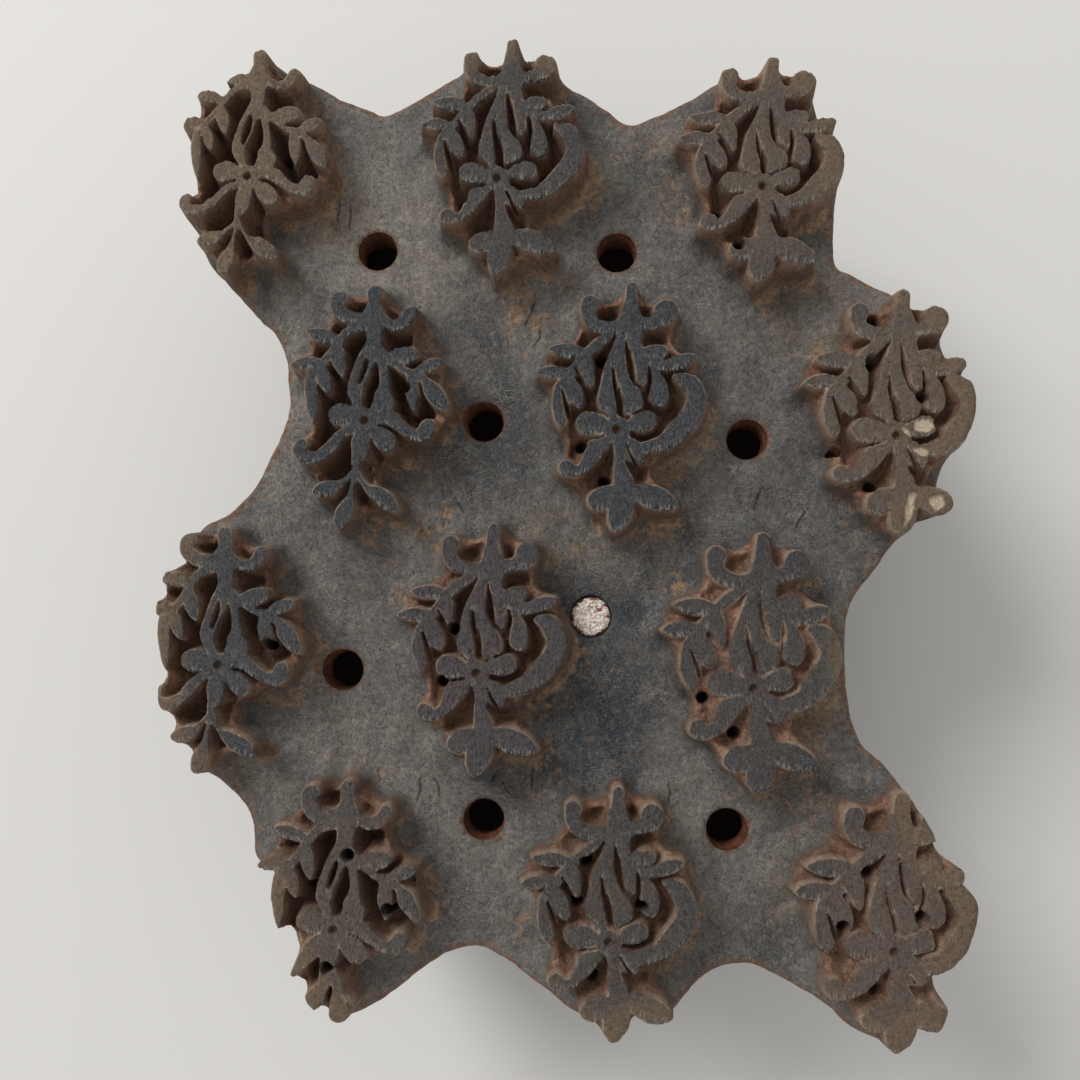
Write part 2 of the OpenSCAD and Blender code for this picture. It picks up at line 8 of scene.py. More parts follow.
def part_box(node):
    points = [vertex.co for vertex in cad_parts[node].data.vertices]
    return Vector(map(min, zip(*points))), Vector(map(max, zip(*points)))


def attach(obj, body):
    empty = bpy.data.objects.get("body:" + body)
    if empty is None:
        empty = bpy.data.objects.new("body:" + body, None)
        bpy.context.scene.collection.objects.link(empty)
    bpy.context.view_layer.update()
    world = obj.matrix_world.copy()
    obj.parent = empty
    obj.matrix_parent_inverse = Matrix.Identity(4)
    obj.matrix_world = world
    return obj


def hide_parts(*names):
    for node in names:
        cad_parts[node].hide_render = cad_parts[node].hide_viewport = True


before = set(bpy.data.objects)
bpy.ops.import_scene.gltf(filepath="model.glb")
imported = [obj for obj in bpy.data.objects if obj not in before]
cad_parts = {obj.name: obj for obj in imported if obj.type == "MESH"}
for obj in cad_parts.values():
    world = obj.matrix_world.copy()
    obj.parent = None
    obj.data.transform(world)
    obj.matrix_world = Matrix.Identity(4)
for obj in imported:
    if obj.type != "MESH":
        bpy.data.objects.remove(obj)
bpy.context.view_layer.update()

# A hand-carved block for printing cloth, lying with its carved face up on the grip of its handle.
# The carved face is a height surface over a fine grid, worked out in the pattern's own frame:
# millimetres, x across the grain, y along it towards the buds, z = 0 at the printing faces.

mm = 0.001
blockLow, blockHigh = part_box("carved_block")
rivetLow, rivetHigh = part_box("rivet")
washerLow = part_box("rivet_washer")[0]

pattern = {
    "columns": 3,
    "rows": 4,
    "pitchX": 50.0,
    "pitchY": 47.0,
    "stagger": 25.0,
    "cutAbove": 3.0,  # how far above the middle between two rows they are cut apart
    "rivetFrom": (1, 2, 20.0, 11.5),  # column and row of a spray, then right and up from it
}


# Where the spray in this column and row has its flower
def sprayAt(column, row):
    x = (column - (pattern["columns"] - 1) / 2) * pattern["pitchX"] + (row % 2) * pattern["stagger"]
    y = ((pattern["rows"] - 1) / 2 - row) * pattern["pitchY"]
    return np.array([x, y])


# A place given as column, row, right and up
def fromSpray(place):
    return sprayAt(place[0], place[1]) + np.array(place[2:4], float)


rivetPlace = fromSpray(pattern["rivetFrom"])
middle = rivetPlace - np.array([rivetLow.x + rivetHigh.x, rivetLow.y + rivetHigh.y]) / 2 / mm
topZ = blockHigh.z / mm
floorLevel = (rivetHigh.z - blockHigh.z) / mm  # the carved floor, below the printing faces
backLevel = (blockLow.z - blockHigh.z) / mm


# Pattern frame in millimetres to the part's frame in metres
def inFrame(points):
    return (points + np.array([-middle[0], -middle[1], topZ])) * mm


# Spray of the two right-hand columns, from its flower: strokes of [x, y, half width]
fullStrokes = [
    [[2.2, 27.4, 1.2], [2.0, 25, 1.3], [2.1, 22.5, 1.9], [2.2, 20.3, 2.5], [1.6, 18, 2.4]],
    [[2.5, 20, 1.6], [4.6, 20.5, 1.3], [6.6, 20.9, 1.4], [8.2, 21.9, 2.0], [8.6, 22.9, 2.3]],
    [[1, 20, 1.6], [-2, 19.7, 1.2], [-4.5, 20.2, 1.4], [-6.0, 22, 1.4], [-5.8, 24.3, 1.7]],
    [[1.5, 18.5, 1.4], [-2.2, 17.7, 1.0], [-4.6, 16, 1.0], [-6.8, 13.4, 1.0], [-9, 10.6, 1.0],
     [-10.8, 8, 1.0]],
    [[2.8, 18.8, 1.4], [3.5, 15.2, 1.2], [4.3, 11.4, 1.2], [4.2, 8.4, 0.7]],
    [[4, 13.6, 1.0], [6.5, 13, 1.1], [8.8, 12.6, 1.1]],
    [[11.2, 10.6, 0.8], [13.4, 9.4, 1.8], [14.8, 6.3, 1.9], [13.8, 3, 2.1], [11.4, 0.1, 2.0],
     [8.6, -2.2, 1.6], [5.4, -3.2, 1.2]],
    [[-1, -1.4, 1.2], [-3.5, -3.2, 1.9], [-4.6, -5.2, 1.6], [-6.2, -7.4, 1.1], [-8, -8.1, 1.2],
     [-9.2, -7.6, 1.7]],
    [[0.7, -1, 1.5], [0.9, -5, 1.1], [1.0, -7.2, 1.3], [1.6, -9.6, 1.9], [1.9, -12, 2.3]],
    [[0.4, 17.6, 0.7], [-0.2, 15, 1.4], [-1.0, 11.6, 1.9], [-1.8, 8.5, 1.8], [-2.1, 6, 1.9],
     [-1.8, 4, 1.5], [-0.9, 2.6, 1.0]],
    [[0.5, 16.4, 0.8], [0.6, 13, 1.1], [1.3, 9.5, 1.4], [2.5, 7, 1.8], [3.0, 5.2, 1.9],
     [2.3, 3.8, 1.2]],
]
# Leaves of [base x, base y, tip x, tip y, width, place of the widest part, fullness]
fullLeaves = [
    [-5.6, 14.8, -13.4, 15.2, 3.0, 0.5, 0.8],
    [-8.6, 11, -15.4, 10.6, 2.8, 0.5, 0.8],
    [-6.6, 14.2, -4.8, 7.6, 3.2, 0.45, 0.8],
    [-9.6, 10.6, -7.0, 4.0, 3.2, 0.55, 0.7],
    [-10.8, 9.2, -10.4, -0.2, 3.6, 0.5, 0.7],
    [3.4, 14.6, 9.2, 15.4, 3.2, 0.6, 0.5],
    [8.2, 12.2, 14.8, 14.6, 2.9, 0.5, 0.7],
    [6.2, 13, 8.3, 4.6, 4.2, 0.6, 0.7],
    [-1.5, 0.8, -7.6, 1.2, 4.6, 0.6, 0.5],
    [1.5, 0.8, 7.5, 2.4, 4.0, 0.65, 0.5],
    [1.4, -1.4, 5.2, -6.0, 4.0, 0.5, 0.8],
    [1.5, -11, -4.9, -14.2, 4.4, 0.6, 0.5],
    [2.4, -11, 12, -14.2, 4.8, 0.5, 0.8],
    [2.2, -10.5, 0.2, -19.4, 5.0, 0.5, 0.9],
]
# Slits that the knife cut back into it, as strokes that are taken away
fullSlits = [
    [[-0.5, 18.2, 0.15], [-2.1, 15.8, 0.7], [-3.6, 13.6, 1.1], [-3.9, 11, 0.8], [-4.2, 8.5, 0.55],
     [-5.0, 6.2, 0.7], [-5.4, 4.5, 0.5]],
    [[1.5, 17, 0.25], [1.7, 14.5, 0.5], [2.1, 11.5, 0.55], [3.0, 9.3, 0.45], [4.5, 8.0, 0.35]],
    [[-1.1, 11.6, 0.2], [-0.8, 9, 0.5], [-0.3, 6.4, 0.45], [0.1, 4.6, 0.55], [0, 3.2, 0.3]],
    [[5.7, 12.2, 0.3], [6.0, 10.2, 0.55], [5.7, 7.8, 0.5], [5.6, 5.6, 0.45], [4.9, 4.1, 0.3]],
    [[10.2, 9.6, 0.3], [10.9, 8, 0.6], [11.3, 6.4, 0.8], [9.7, 4.4, 0.7], [8.1, 3, 0.6],
     [8.4, 1, 0.7], [8, -0.2, 0.4]],
    [[-10.4, 7.2, 0.25], [-9.7, 4.8, 0.5], [-8.9, 2.2, 0.7]],
    [[-7.9, 11.6, 0.2], [-6.9, 9.8, 0.35], [-6.1, 7.6, 0.5], [-5.6, 5.4, 0.5]],
    [[1.6, 2.5, 0.12], [3.4, 3.2, 0.2], [5, 4, 0.25]],
    [[-1.8, 2.4, 0.15], [-3.2, 3.4, 0.3], [-5, 4.2, 0.3]],
    [[-2.2, -1.2, 0.15], [-4.2, -1.6, 0.3], [-5.8, -1.9, 0.35]],
    [[-0.8, -2.6, 0.15], [-1.2, -4.4, 0.45], [-1.7, -5.8, 0.45]],
    [[2.1, -2.6, 0.15], [3, -4.6, 0.3], [4, -6.2, 0.4]],
]
# Spray of the left-hand column
openStrokes = [
    [[0.8, 24.9, 1.6], [0.8, 22.5, 1.4], [0.8, 20.5, 2.1], [1, 18.3, 1.8]],
    [[0, 20.3, 1.5], [-2.2, 19.8, 1.3], [-4.6, 20, 1.6], [-6.3, 21.6, 1.5], [-6.4, 23.4, 1.5],
     [-5.5, 24, 1.3]],
    [[1.6, 20.2, 1.4], [3.4, 19.2, 1.2], [5, 18.7, 1.2], [6.7, 19.4, 1.3], [8.0, 21.2, 1.4]],
    [[0.4, 19, 1.4], [-3.3, 17.7, 1.0], [-5.2, 15.9, 1.0], [-6.8, 13.2, 0.9], [-8.7, 10.8, 0.9],
     [-10.6, 8.2, 0.9]],
    [[1, 19, 1.8], [1, 15.5, 1.6], [1, 13, 1.5]],
    [[0, 14.4, 0.9], [-1.5, 11.4, 0.8], [-2.5, 8, 0.9], [-2.3, 5.4, 1.3], [-1.2, 2.6, 0.9]],
    [[0.9, 12.4, 0.9], [0.2, 9.6, 0.5], [-0.8, 7, 0.5], [-1.6, 5, 0.6]],
    [[2, 13.6, 1.1], [2.9, 10, 0.95], [3.3, 7, 1.1], [3.0, 4.8, 1.7]],
    [[2.4, 13, 1.1], [4.8, 11.3, 0.9], [7, 9.8, 0.8], [9.2, 9.2, 0.9], [11.2, 8, 0.8]],
    [[1.8, 0.6, 1.0], [4.8, 0.6, 1.6], [6.8, -0.9, 1.3], [9, -2.3, 1.2], [11.2, -2.4, 1.6],
     [12.1, -0.8, 1.6]],
    [[-1.4, -1.4, 0.9], [-4.2, -2.8, 1.1], [-6.2, -5.2, 1.2], [-8.6, -7, 1.2], [-11, -7.2, 1.4],
     [-12.2, -6, 1.4], [-11.9, -4.9, 1.3]],
    [[0.2, -1.6, 1.1], [-0.5, -4, 1.8], [-0.6, -6, 1.6], [-1.3, -8, 0.9], [-1.3, -10, 0.8]],
    [[-1.4, -9.6, 0.7], [-3.2, -11.2, 0.6], [-4.6, -12.4, 0.8]],
    [[-1.2, -10, 0.7], [-1.8, -12.6, 0.6], [-2.2, -15, 0.8]],
    [[-1, -10, 0.7], [0.2, -12, 0.6], [1.6, -13.6, 0.8]],
]
openLeaves = [
    [-5.2, 15.2, -12.6, 17.2, 2.9, 0.5, 0.8],
    [-8.6, 11.2, -15.2, 10.2, 2.9, 0.5, 0.8],
    [-6.4, 14.8, -4.6, 8.2, 3.0, 0.45, 0.8],
    [-9.2, 10.8, -7.2, 4.8, 2.8, 0.5, 0.8],
    [-11, 9.6, -10, -1.2, 2.8, 0.4, 0.8],
    [3.6, 11.8, 9.6, 13.4, 3.8, 0.5, 0.5],
    [8.6, 9.2, 14.4, 12, 2.8, 0.55, 0.7],
    [8.4, 9.4, 9.4, 2.0, 3.0, 0.4, 0.8],
    [10.8, 8.6, 15.8, 2.0, 3.6, 0.5, 0.8],
    [-1.5, 1, -7, 1.1, 4.8, 0.6, 0.5],
    [1, 1.6, 5.2, 4.6, 4.2, 0.65, 0.5],
    [1.4, -1.2, 5.8, -5.4, 4.2, 0.6, 0.6],
    [-3.6, -12, -9.2, -14, 3.3, 0.55, 0.7],
    [-1.8, -13.8, -4.2, -20.6, 3.6, 0.6, 0.7],
    [0.6, -12.6, 7.6, -17.2, 3.6, 0.5, 0.8],
]
# Every spray as it was cut and as it has worn: where its flower is, as column, row, right and up;
# its scale to the left and right, and below and above the flower; its turn and the bend of its tail
# in degrees; what its strokes lack in half width, and what its slits have more; how deep its
# surround is scooped and how full its gaps were left; then dust, warm bare wood and pale scuffed wood
sprayKeys = ("at", "wide", "long", "turn", "bend", "thin", "slit", "scoop", "fill", "dust", "warm",
             "pale")
sprays = [dict(zip(sprayKeys, row)) for row in (
    ((0, 0, 0.6, 0.5), (1, 1), (0.95, 0.99), -0.5, 0, 0.25, 0, 1.6, 0.15, 0.9, 0.3, 0.1),
    ((1, 0, -0.6, 0.8), (1.02, 1), (0.98, 0.99), 0, 0, 0.18, 0.1, 0.7, 0.25, 0.25, 0.0, 0.0),
    ((2, 0, 0, 0), (1.05, 0.93), (0.96, 0.9), 1, -4, 0.05, -0.05, 0.7, 0.4, 0.6, 0.15, 0.1),
    ((0, 1, 1, 0), (1, 1), (1, 1), 0, 0, 0.1, 0, 1.0, 0.1, 0.05, 0.0, 0.0),
    ((1, 1, -1.2, -0.5), (1, 1), (1, 1), 0, 0, 0.05, 0, 0.6, 0.35, 0.05, 0.0, 0.0),
    ((2, 1, 0.5, -0.2), (1.08, 0.93), (0.95, 0.97), 2, -1, -0.05, 0, 0.6, 0.5, 0.75, 0.1, 0.3),
    ((0, 2, 0.5, -0.2), (1, 1), (0.98, 1), 2.5, 0, 0.15, 0, 1.4, 0.25, 0.1, 0.0, 0.15),
    ((1, 2, -0.8, 0.2), (1, 1), (0.98, 0.98), 0, 0, 0.05, 0, 0.6, 0.45, 0.1, 0.7, 0.0),
    ((2, 2, 0.2, -0.7), (1.08, 0.96), (0.98, 1), 2, 0, -0.15, -0.12, 0.6, 0.9, 0.25, 0.1, 0.0),
    ((0, 3, -0.2, -0.5), (1, 1.02), (0.9, 1.03), -1.5, 0, 0.1, 0, 1.2, 0.2, 0.45, 0.2, 0.1),
    ((1, 3, 0.2, -0.2), (1.05, 0.95), (0.92, 0.98), 2.5, 0, 0.1, 0, 0.6, 0.5, 0.3, 0.1, 0.0),
    ((2, 3, 1, 0.7), (1.12, 0.92), (0.9, 0.97), 2, -1, -0.25, -0.15, 0.6, 0.75, 0.55, 0.45, 0.2),
)]
# The lowest spray of the left-hand column lacks some strokes and leaves, by number, and has others
lowestLeft = next(spray for spray in sprays if spray["at"][:2] == (0, 3))
lowestLeft["without"] = (10, 12, 13, 14, 27, 28, 29)
lowestLeft["also"] = [
    [[-1.4, -1.6, 1.0], [-3.3, -3.6, 1.8], [-5.1, -6.4, 1.4], [-6.9, -9.4, 0.7]],
    [[0.4, -9, 0.8], [-1.2, -11.2, 1.1], [-2.7, -13.8, 1.8], [-3.1, -14.6, 1.4]],
    [[0.6, -9, 0.9], [1.2, -12, 0.8], [1.9, -15.8, 1.9], [1.9, -16.8, 1.6]],
    [[1, -9.6, 0.6], [2.8, -12.6, 0.5], [4.4, -14.4, 0.6]],
]
# Drilled pits, in the same way
pits = [
    [0, 0, [[7, 6], [-5.5, 4.5]]],
    [1, 0, [[-7.3, -3], [8.4, 2.6]]],
    [2, 0, [[-8.2, -4.4], [-4.2, -11.2]]],
    [0, 1, [[8.2, 6.7], [-5.9, 4], [-2.3, -8.8]]],
    [1, 1, [[-7.7, -3.2], [-3.2, -9.9], [-4.5, 13.5]]],
    [2, 1, [[-9.7, -2.9], [-3.3, -9.6], [-4, 13.8], [5.2, 7.3], [-3.4, 22]]],
    [0, 2, [[9.6, 4], [-2.6, -8]]],
    [1, 2, [[-7.4, -1.6], [-5.4, 8.2]]],
    [2, 2, [[-8.8, -2.8], [-2.9, -9]]],
    [0, 3, [[1.8, 13], [-5.2, 6.6], [9.6, 3.5], [-1.2, -7.4]]],
    [1, 3, [[-4.4, 13.6], [-5.8, 6], [6, 6.2], [-2.6, -7.4]]],
    [2, 3, [[-3.7, 14.2], [-8, 4.5], [5.9, 6.7], [-2, -6.6]]],
]
vents = [
    [0, 0, 24.6, -10.2], [1, 0, 22.9, -9.6], [0, 1, 22.6, 2.4], [1, 1, 24.5, 0.2],
    [0, 2, 21.8, -0.6], [1, 2, 0.7, -28.3], [2, 2, -2.7, -28.1],
]
# Sawn rim, clockwise from the top left: column and row of a spray, and knots right and up from it
rim = [
    [0, 0, [[-12.8, 12.5], [-11.2, 16], [-9.4, 18.2], [-6, 18.6], [-4.2, 20.6], [-1, 22.8], [-0.4, 25.4],
           [1.2, 26.8], [3.4, 26.8], [8.4, 25], [11.5, 23.4], [17, 21], [22, 19.3], [24.5, 18.5]]],
    [1, 0, [[-22, 19.7], [-16, 23.5], [-12, 25.8], [-8, 27.6], [-4, 28.4], [0.8, 29.4], [5, 28.8],
           [8.6, 27.2], [11, 24.8], [16, 22.6], [20, 20], [24.5, 17]]],
    [2, 0, [[-20, 19], [-13, 22.5], [-8.4, 25], [-5, 26.2], [1.5, 26.6], [4.6, 25.4], [9, 23.2],
           [11.6, 19.6], [13.3, 15.2], [14.8, 11], [15.7, 6], [15.8, 0], [15.8, -8], [16.6, -11.8]]],
    [2, 1, [[-5.5, 33.8], [-1.5, 31.4], [2, 29.6], [6.4, 27], [10.2, 24.6], [11.6, 20], [13.2, 14.6],
           [14.8, 10], [15.3, 6.3], [14.6, 2.5], [13.2, -1.5], [11.8, -5], [11.2, -9], [11.2, -13],
           [9.5, -14.7], [6.3, -15.6], [3, -19], [0, -24]]],
    [2, 2, [[22, 19], [19.6, 14.5], [18.8, 7.5], [19.2, 1.5], [20.5, -5.5], [22.6, -11], [26, -14]]],
    [2, 3, [[4.4, 28.6], [6.2, 24.6], [8, 21.5], [9.6, 18], [13.2, 15.4], [13.8, 12.8], [15.6, 10.2],
           [16, 7.6], [15.2, 4.3], [14, 1], [11.8, -2], [11, -6], [10.6, -10], [9.2, -13], [5.6, -14],
           [3.8, -16.2], [1, -17.4], [-2, -17], [-5, -15.6], [-8.6, -12.4], [-16, -8.6], [-21, -6.5]]],
    [1, 3, [[25.5, -6], [22, -6.6], [19, -8.4], [15.6, -11.6], [12.2, -14.3], [8.4, -14.8], [4.4, -15.6],
           [2.6, -17.8], [-0.6, -18.2], [-3.4, -17], [-6.9, -15.6], [-11.2, -12.6], [-15.4, -9.8],
           [-19.8, -7]]],
    [0, 3, [[25, -5.3], [19.5, -7], [14.5, -10.4], [9.2, -14.8], [4.6, -17.6], [1.6, -18.2],
           [-1.2, -16.6], [-3.6, -15.2], [-5.4, -12.6], [-8, -9.6], [-9.4, -6], [-10.8, -2],
           [-12.6, 1.4], [-13.6, 4.6], [-15, 7.4], [-18.4, 9.6], [-19.2, 13.5], [-20.4, 18]]],
    [0, 2, [[2, -26], [-3, -21.6], [-5.6, -18], [-8, -14.6], [-8.8, -11.4], [-10.8, -7.4], [-11.2, -3],
           [-11.6, 2], [-12.1, 6], [-12.3, 11], [-11.4, 16], [-9.8, 19.6], [-8.6, 23.4], [-7.2, 27],
           [-2.3, 30], [1.5, 34.5]]],
    [0, 1, [[-20.5, -6.5], [-18, -0.5], [-17, 4], [-17.2, 9], [-18, 14], [-20.5, 19]]],
    [0, 0, [[1.5, -25.5], [-2.8, -21], [-5.6, -17.8], [-8.8, -15], [-10.8, -10], [-12.9, -6.4],
           [-13.5, -3.6], [-12.7, 0.6], [-12.4, 5], [-13, 9]]],
]
# Cross channels, each by the two vents that it is drilled under
channels = [[0, 1], [2, 3], [4, 4], [5, 6]]
# Zones of the carved floor: x, y, radius, paleness (dark is less than 0) and ochre
floorZones = [
    [-30, 63, 17, 0.9, 0.1], [-44, 28, 12, 0.8, 0], [-44, 4, 9, 0.3, 0], [3, 60, 12, 0.45, 0.4],
    [26, 74, 12, -0.15, 0.5], [44, 47, 12, 0.2, 0], [16, 3, 9, 0.25, 1.0], [70, 52, 9, 0.3, 0.4],
    [15, -8, 12, -0.7, 0], [20, -32, 15, -0.55, 0], [-9, -71, 11, -0.1, 0], [-36, 66, 8, 0.2, 0.8],
    [-15, 24, 9, -0.6, 0], [-24, -38, 9, 0.35, 0.2], [38, 6, 10, -0.3, 0], [-6, 44, 7, -0.5, 0],
    [46, -76, 10, -0.3, 0], [-48, -45, 8, 0.2, 0.5], [60, -40, 9, 0.1, 0.5], [3, -57, 8, 0.5, 0.1],
    [6, 22, 10, -0.3, 0], [22, -60, 12, 0.5, 0.1], [36, -48, 8, 0.5, 0.1], [-30, -2, 9, 0.15, 0.2],
    [-9, -49, 8, 0.4, 0.1], [54, 14, 8, -0.4, 0], [61, -30, 8, 0.3, 0.9], [58, 50, 7, 0, 0.9],
    [8, -32, 5, 0, 0.9], [-17, 18, 6, 0.1, 0.9], [33, 80, 6, -0.1, 0.7], [-30, -62, 6, 0, 0.7],
    [60, -62, 6, 0.1, 0.6], [28, -80, 6, 0, 0.5],
]
# Places where the grain is torn and brown: x, y, radius, strength
tornPlaces = [
    [23, 6, 4, 0.9], [-11, 2, 6, 0.9], [-15, -8, 6, 0.5], [37, -6, 4, 0.7], [-22, -44, 4, 0.5],
    [5, 46, 6, 0.8], [38, 70, 5, 0.6], [64, 40, 6, 0.7], [62, -47, 6, 0.6], [71, -8, 6, 0.5],
    [-9, 7, 4, 0.8], [11, -43, 5, 0.5], [-40, 66, 5, 0.4], [28, 52, 4, 0.5], [70, 12, 5, 0.6],
    [9, -70, 4, 0.5], [-46, 10, 4, 0.4], [48, -47, 4, 0.4],
]
# Short cracks along the grain: x, y, length, lean in degrees
cracks = [
    [9.5, -43, 7, 2], [12, -40.5, 5, 6], [3, -43, 4, 30], [5, -45.5, 4, -20], [-9, 6, 4, 35],
    [-6.5, 8.5, 3.5, -25], [6, 48, 7, 20], [7.8, 43, 6, 12], [-12, -46.5, 6, 10], [-8.5, -46, 5, -8],
    [-33.5, 69, 8, 3], [-31.2, 67, 6, -2], [14, 33, 4, 8], [52, 12, 6, 15], [-20, 9, 6, -12],
    [36, -45, 5, 5], [-47, -30, 5, -5], [30, 20, 5, -15], [60, 8, 5, 20], [-17, 47, 5, 25],
]
# Chips knocked off the face: column and row, and for each chip right, up, half width, half length,
# turn in degrees, and how pale the wood is there
chips = [
    [2, 1, [[5.2, 1.7, 2.0, 1.3, 10, 1], [2.4, 0.6, 0.5, 1.4, 50, 1], [5.0, -3.1, 1.7, 0.9, -35, 1],
           [2.9, -13.6, 0.8, 3.1, -12, 1], [7.8, -12.4, 1.4, 1.3, -15, 1],
           [3.4, -11.2, 0.8, 0.9, 0, 0.9]]],
    [0, 2, [[-8.8, -3.4, 1.4, 1.6, 0, 0.2], [-7.2, -5.2, 1.6, 0.7, -20, 0.2]]],
    [0, 3, [[-7.0, -2.2, 1.8, 2.2, -40, 0.2], [13.2, 2.4, 1.0, 1.8, 20, 0.2],
           [10.9, 1.2, 1.0, 0.6, 0, 0.1]]],
    [2, 3, [[5.6, 7.4, 1.0, 2.2, 10, 0.3]]],
    [1, 2, [[3.6, 11.4, 0.4, 0.3, 0, 0.8]]],
    [2, 1, [[-6.2, 5.0, 0.5, 0.8, 0, 0.5]]],
]


# Rows that are grouped by column and row, each with its column and row in front again
def ungrouped(groups):
    return [[column, row, *rest] for column, row, members in groups for rest in members]


# Smooth noise between -1 and 1: random values on a square lattice, eased between its corners
def valueNoise(x, y, size, seed):
    lattice = np.random.default_rng(seed).random((256, 256)) * 2 - 1
    u, v = x / size + 1000.0, y / size + 1000.0
    i, j = np.floor(u).astype(np.int64), np.floor(v).astype(np.int64)
    a, b = u - i, v - j
    a, b = a * a * (3 - 2 * a), b * b * (3 - 2 * b)
    i0, i1, j0, j1 = i % 256, (i + 1) % 256, j % 256, (j + 1) % 256
    low = lattice[j0, i0] * (1 - a) + lattice[j0, i1] * a
    high = lattice[j1, i0] * (1 - a) + lattice[j1, i1] * a
    return low * (1 - b) + high * b


# Noise with finer and weaker copies of itself added, each turned a little
def fractal(x, y, size, seed, octaves=3):
    total, strength, norm = 0.0, 1.0, 0.0
    for k in range(octaves):
        c, s = math.cos(0.6 * k), math.sin(0.6 * k)
        total = total + strength * valueNoise(c * x - s * y, s * x + c * y, size / 2 ** k, seed + 17 * k)
        norm += strength
        strength *= 0.55
    return total / norm


# Smooth step from 0 at low to 1 at high
def ease(value, low, high):
    t = np.clip((value - low) / (high - low), 0, 1)
    return t * t * (3 - 2 * t)


# Smooth line through rows of knots: a cubic on each span that takes its slope from its
# neighbours. Columns past the first two, such as a half width, are carried along.
def throughKnots(knots, spacing, closed=False):
    k = np.array(knots, float)
    ring = np.vstack([k[-1:], k, k[:2]]) if closed else np.vstack([k[:1], k, k[-1:]])
    out = []
    for a, b, c, d in zip(ring[:-3], ring[1:-2], ring[2:-1], ring[3:]):
        n = max(2, int(math.ceil(np.hypot(*(c - b)[:2]) / spacing)))
        t = (np.arange(n) / n)[:, None]
        out.append((2 * b + (c - a) * t + (2 * a - 5 * b + 4 * c - d) * t ** 2
                    + (3 * b - a - 3 * c + d) * t ** 3) / 2)
    if not closed:
        out.append(k[-1:])
    return np.vstack(out)


# The cosine and sine of an angle in degrees
def directionOf(degrees):
    return math.cos(math.radians(degrees)), math.sin(math.radians(degrees))


# Vectors made one long
def unit(vectors):
    return vectors / np.maximum(np.linalg.norm(vectors, axis=1, keepdims=True), 1e-12)


# Twice the area of each triangle, as a vector along its normal
def areaVectors(points, faces):
    a, b, c = (points[faces[:, k]] for k in range(3))
    return np.cross(b - a, c - a)


# An object in the scene from its data
def addObject(name, data):
    thing = bpy.data.objects.new(name, data)
    bpy.context.scene.collection.objects.link(thing)
    return thing


# A mesh object from arrays: points in metres, triangles, and normals and named values per point
def makeMesh(name, points, faces, smooth=True, normals=None, values=None):
    mesh = bpy.data.meshes.new(name)
    mesh.vertices.add(len(points))
    mesh.vertices.foreach_set("co", np.ascontiguousarray(points, np.float32).ravel())
    corners = faces.shape[1]
    mesh.loops.add(faces.size)
    mesh.loops.foreach_set("vertex_index", np.ascontiguousarray(faces, np.int32).ravel())
    mesh.polygons.add(len(faces))
    mesh.polygons.foreach_set("loop_start", np.arange(0, faces.size, corners, dtype=np.int32))
    mesh.polygons.foreach_set("use_smooth", np.full(len(faces), smooth))
    mesh.update(calc_edges=True)
    for key, array in (values or {}).items():
        layer = mesh.attributes.new(key, "FLOAT", "POINT")
        layer.data.foreach_set("value", np.ascontiguousarray(array, np.float32))
    if normals is not None:
        mesh.normals_split_custom_set_from_vertices(np.ascontiguousarray(normals, np.float32))
    return addObject(name, mesh)


# A piece of a larger surface: some of its triangles and only the points that they use
def makePart(name, chosen, points, normals, values=None):
    used, local = np.unique(chosen.ravel(), return_inverse=True)
    return makeMesh(name, points[used], local.reshape(-1, 3), normals=normals[used],
                    values={key: array[used] for key, array in (values or {}).items()})


# Area-weighted normals of a triangle mesh
def vertexNormals(points, faces):
    flat = areaVectors(points, faces)
    total = np.zeros_like(points)
    for k in range(3):
        for axis in range(3):
            total[:, axis] += np.bincount(faces[:, k], flat[:, axis], len(points))
    return unit(total)


# Where the line on which a field is 0 passes within half a cell of a grid point: which points,
# and their moves onto it, in rows and columns
def ontoLine(field):
    gi, gj = np.gradient(field)
    size = np.maximum(gi * gi + gj * gj, 1e-4)
    near = np.abs(field) <= np.maximum(np.abs(gi), np.abs(gj)) / 2
    return near, np.where(near, -field * gi / size, 0), np.where(near, -field * gj / size, 0)


# Two triangles to each cell of a grid, split along the corners that are most alike: on one line
# of the carving, or at one level. A grid that closes on itself has its first column once more.
def cellTriangles(level, line, closed=False):
    index = np.arange(level.size).reshape(level.shape)
    if closed:
        index = np.hstack([index, index[:, :1]])
    a, b, c, d = index[:-1, :-1], index[:-1, 1:], index[1:, 1:], index[1:, :-1]
    level, line = level.ravel(), line.ravel()
    unlike = [np.abs(level[p] - level[q]) - 50.0 * ((line[p] == line[q]) & (line[p] > 0))
              for p, q in ((a, c), (b, d))]
    splitAC = (unlike[0] <= unlike[1])[..., None]
    first = np.where(splitAC, np.stack([a, b, c], -1), np.stack([a, b, d], -1))
    second = np.where(splitAC, np.stack([a, c, d], -1), np.stack([b, c, d], -1))
    return np.stack([first, second], 2)


# Which triangles are on the kept side of a cut, where domain is less than 0
def keptSide(triangles, domain, onCut):
    domain, onCut = domain.ravel(), onCut.ravel()
    keep = ((domain < 0) | onCut)[triangles].all(-1)
    return keep & ~(onCut[triangles].all(-1) & (domain[triangles].mean(-1) > 0))


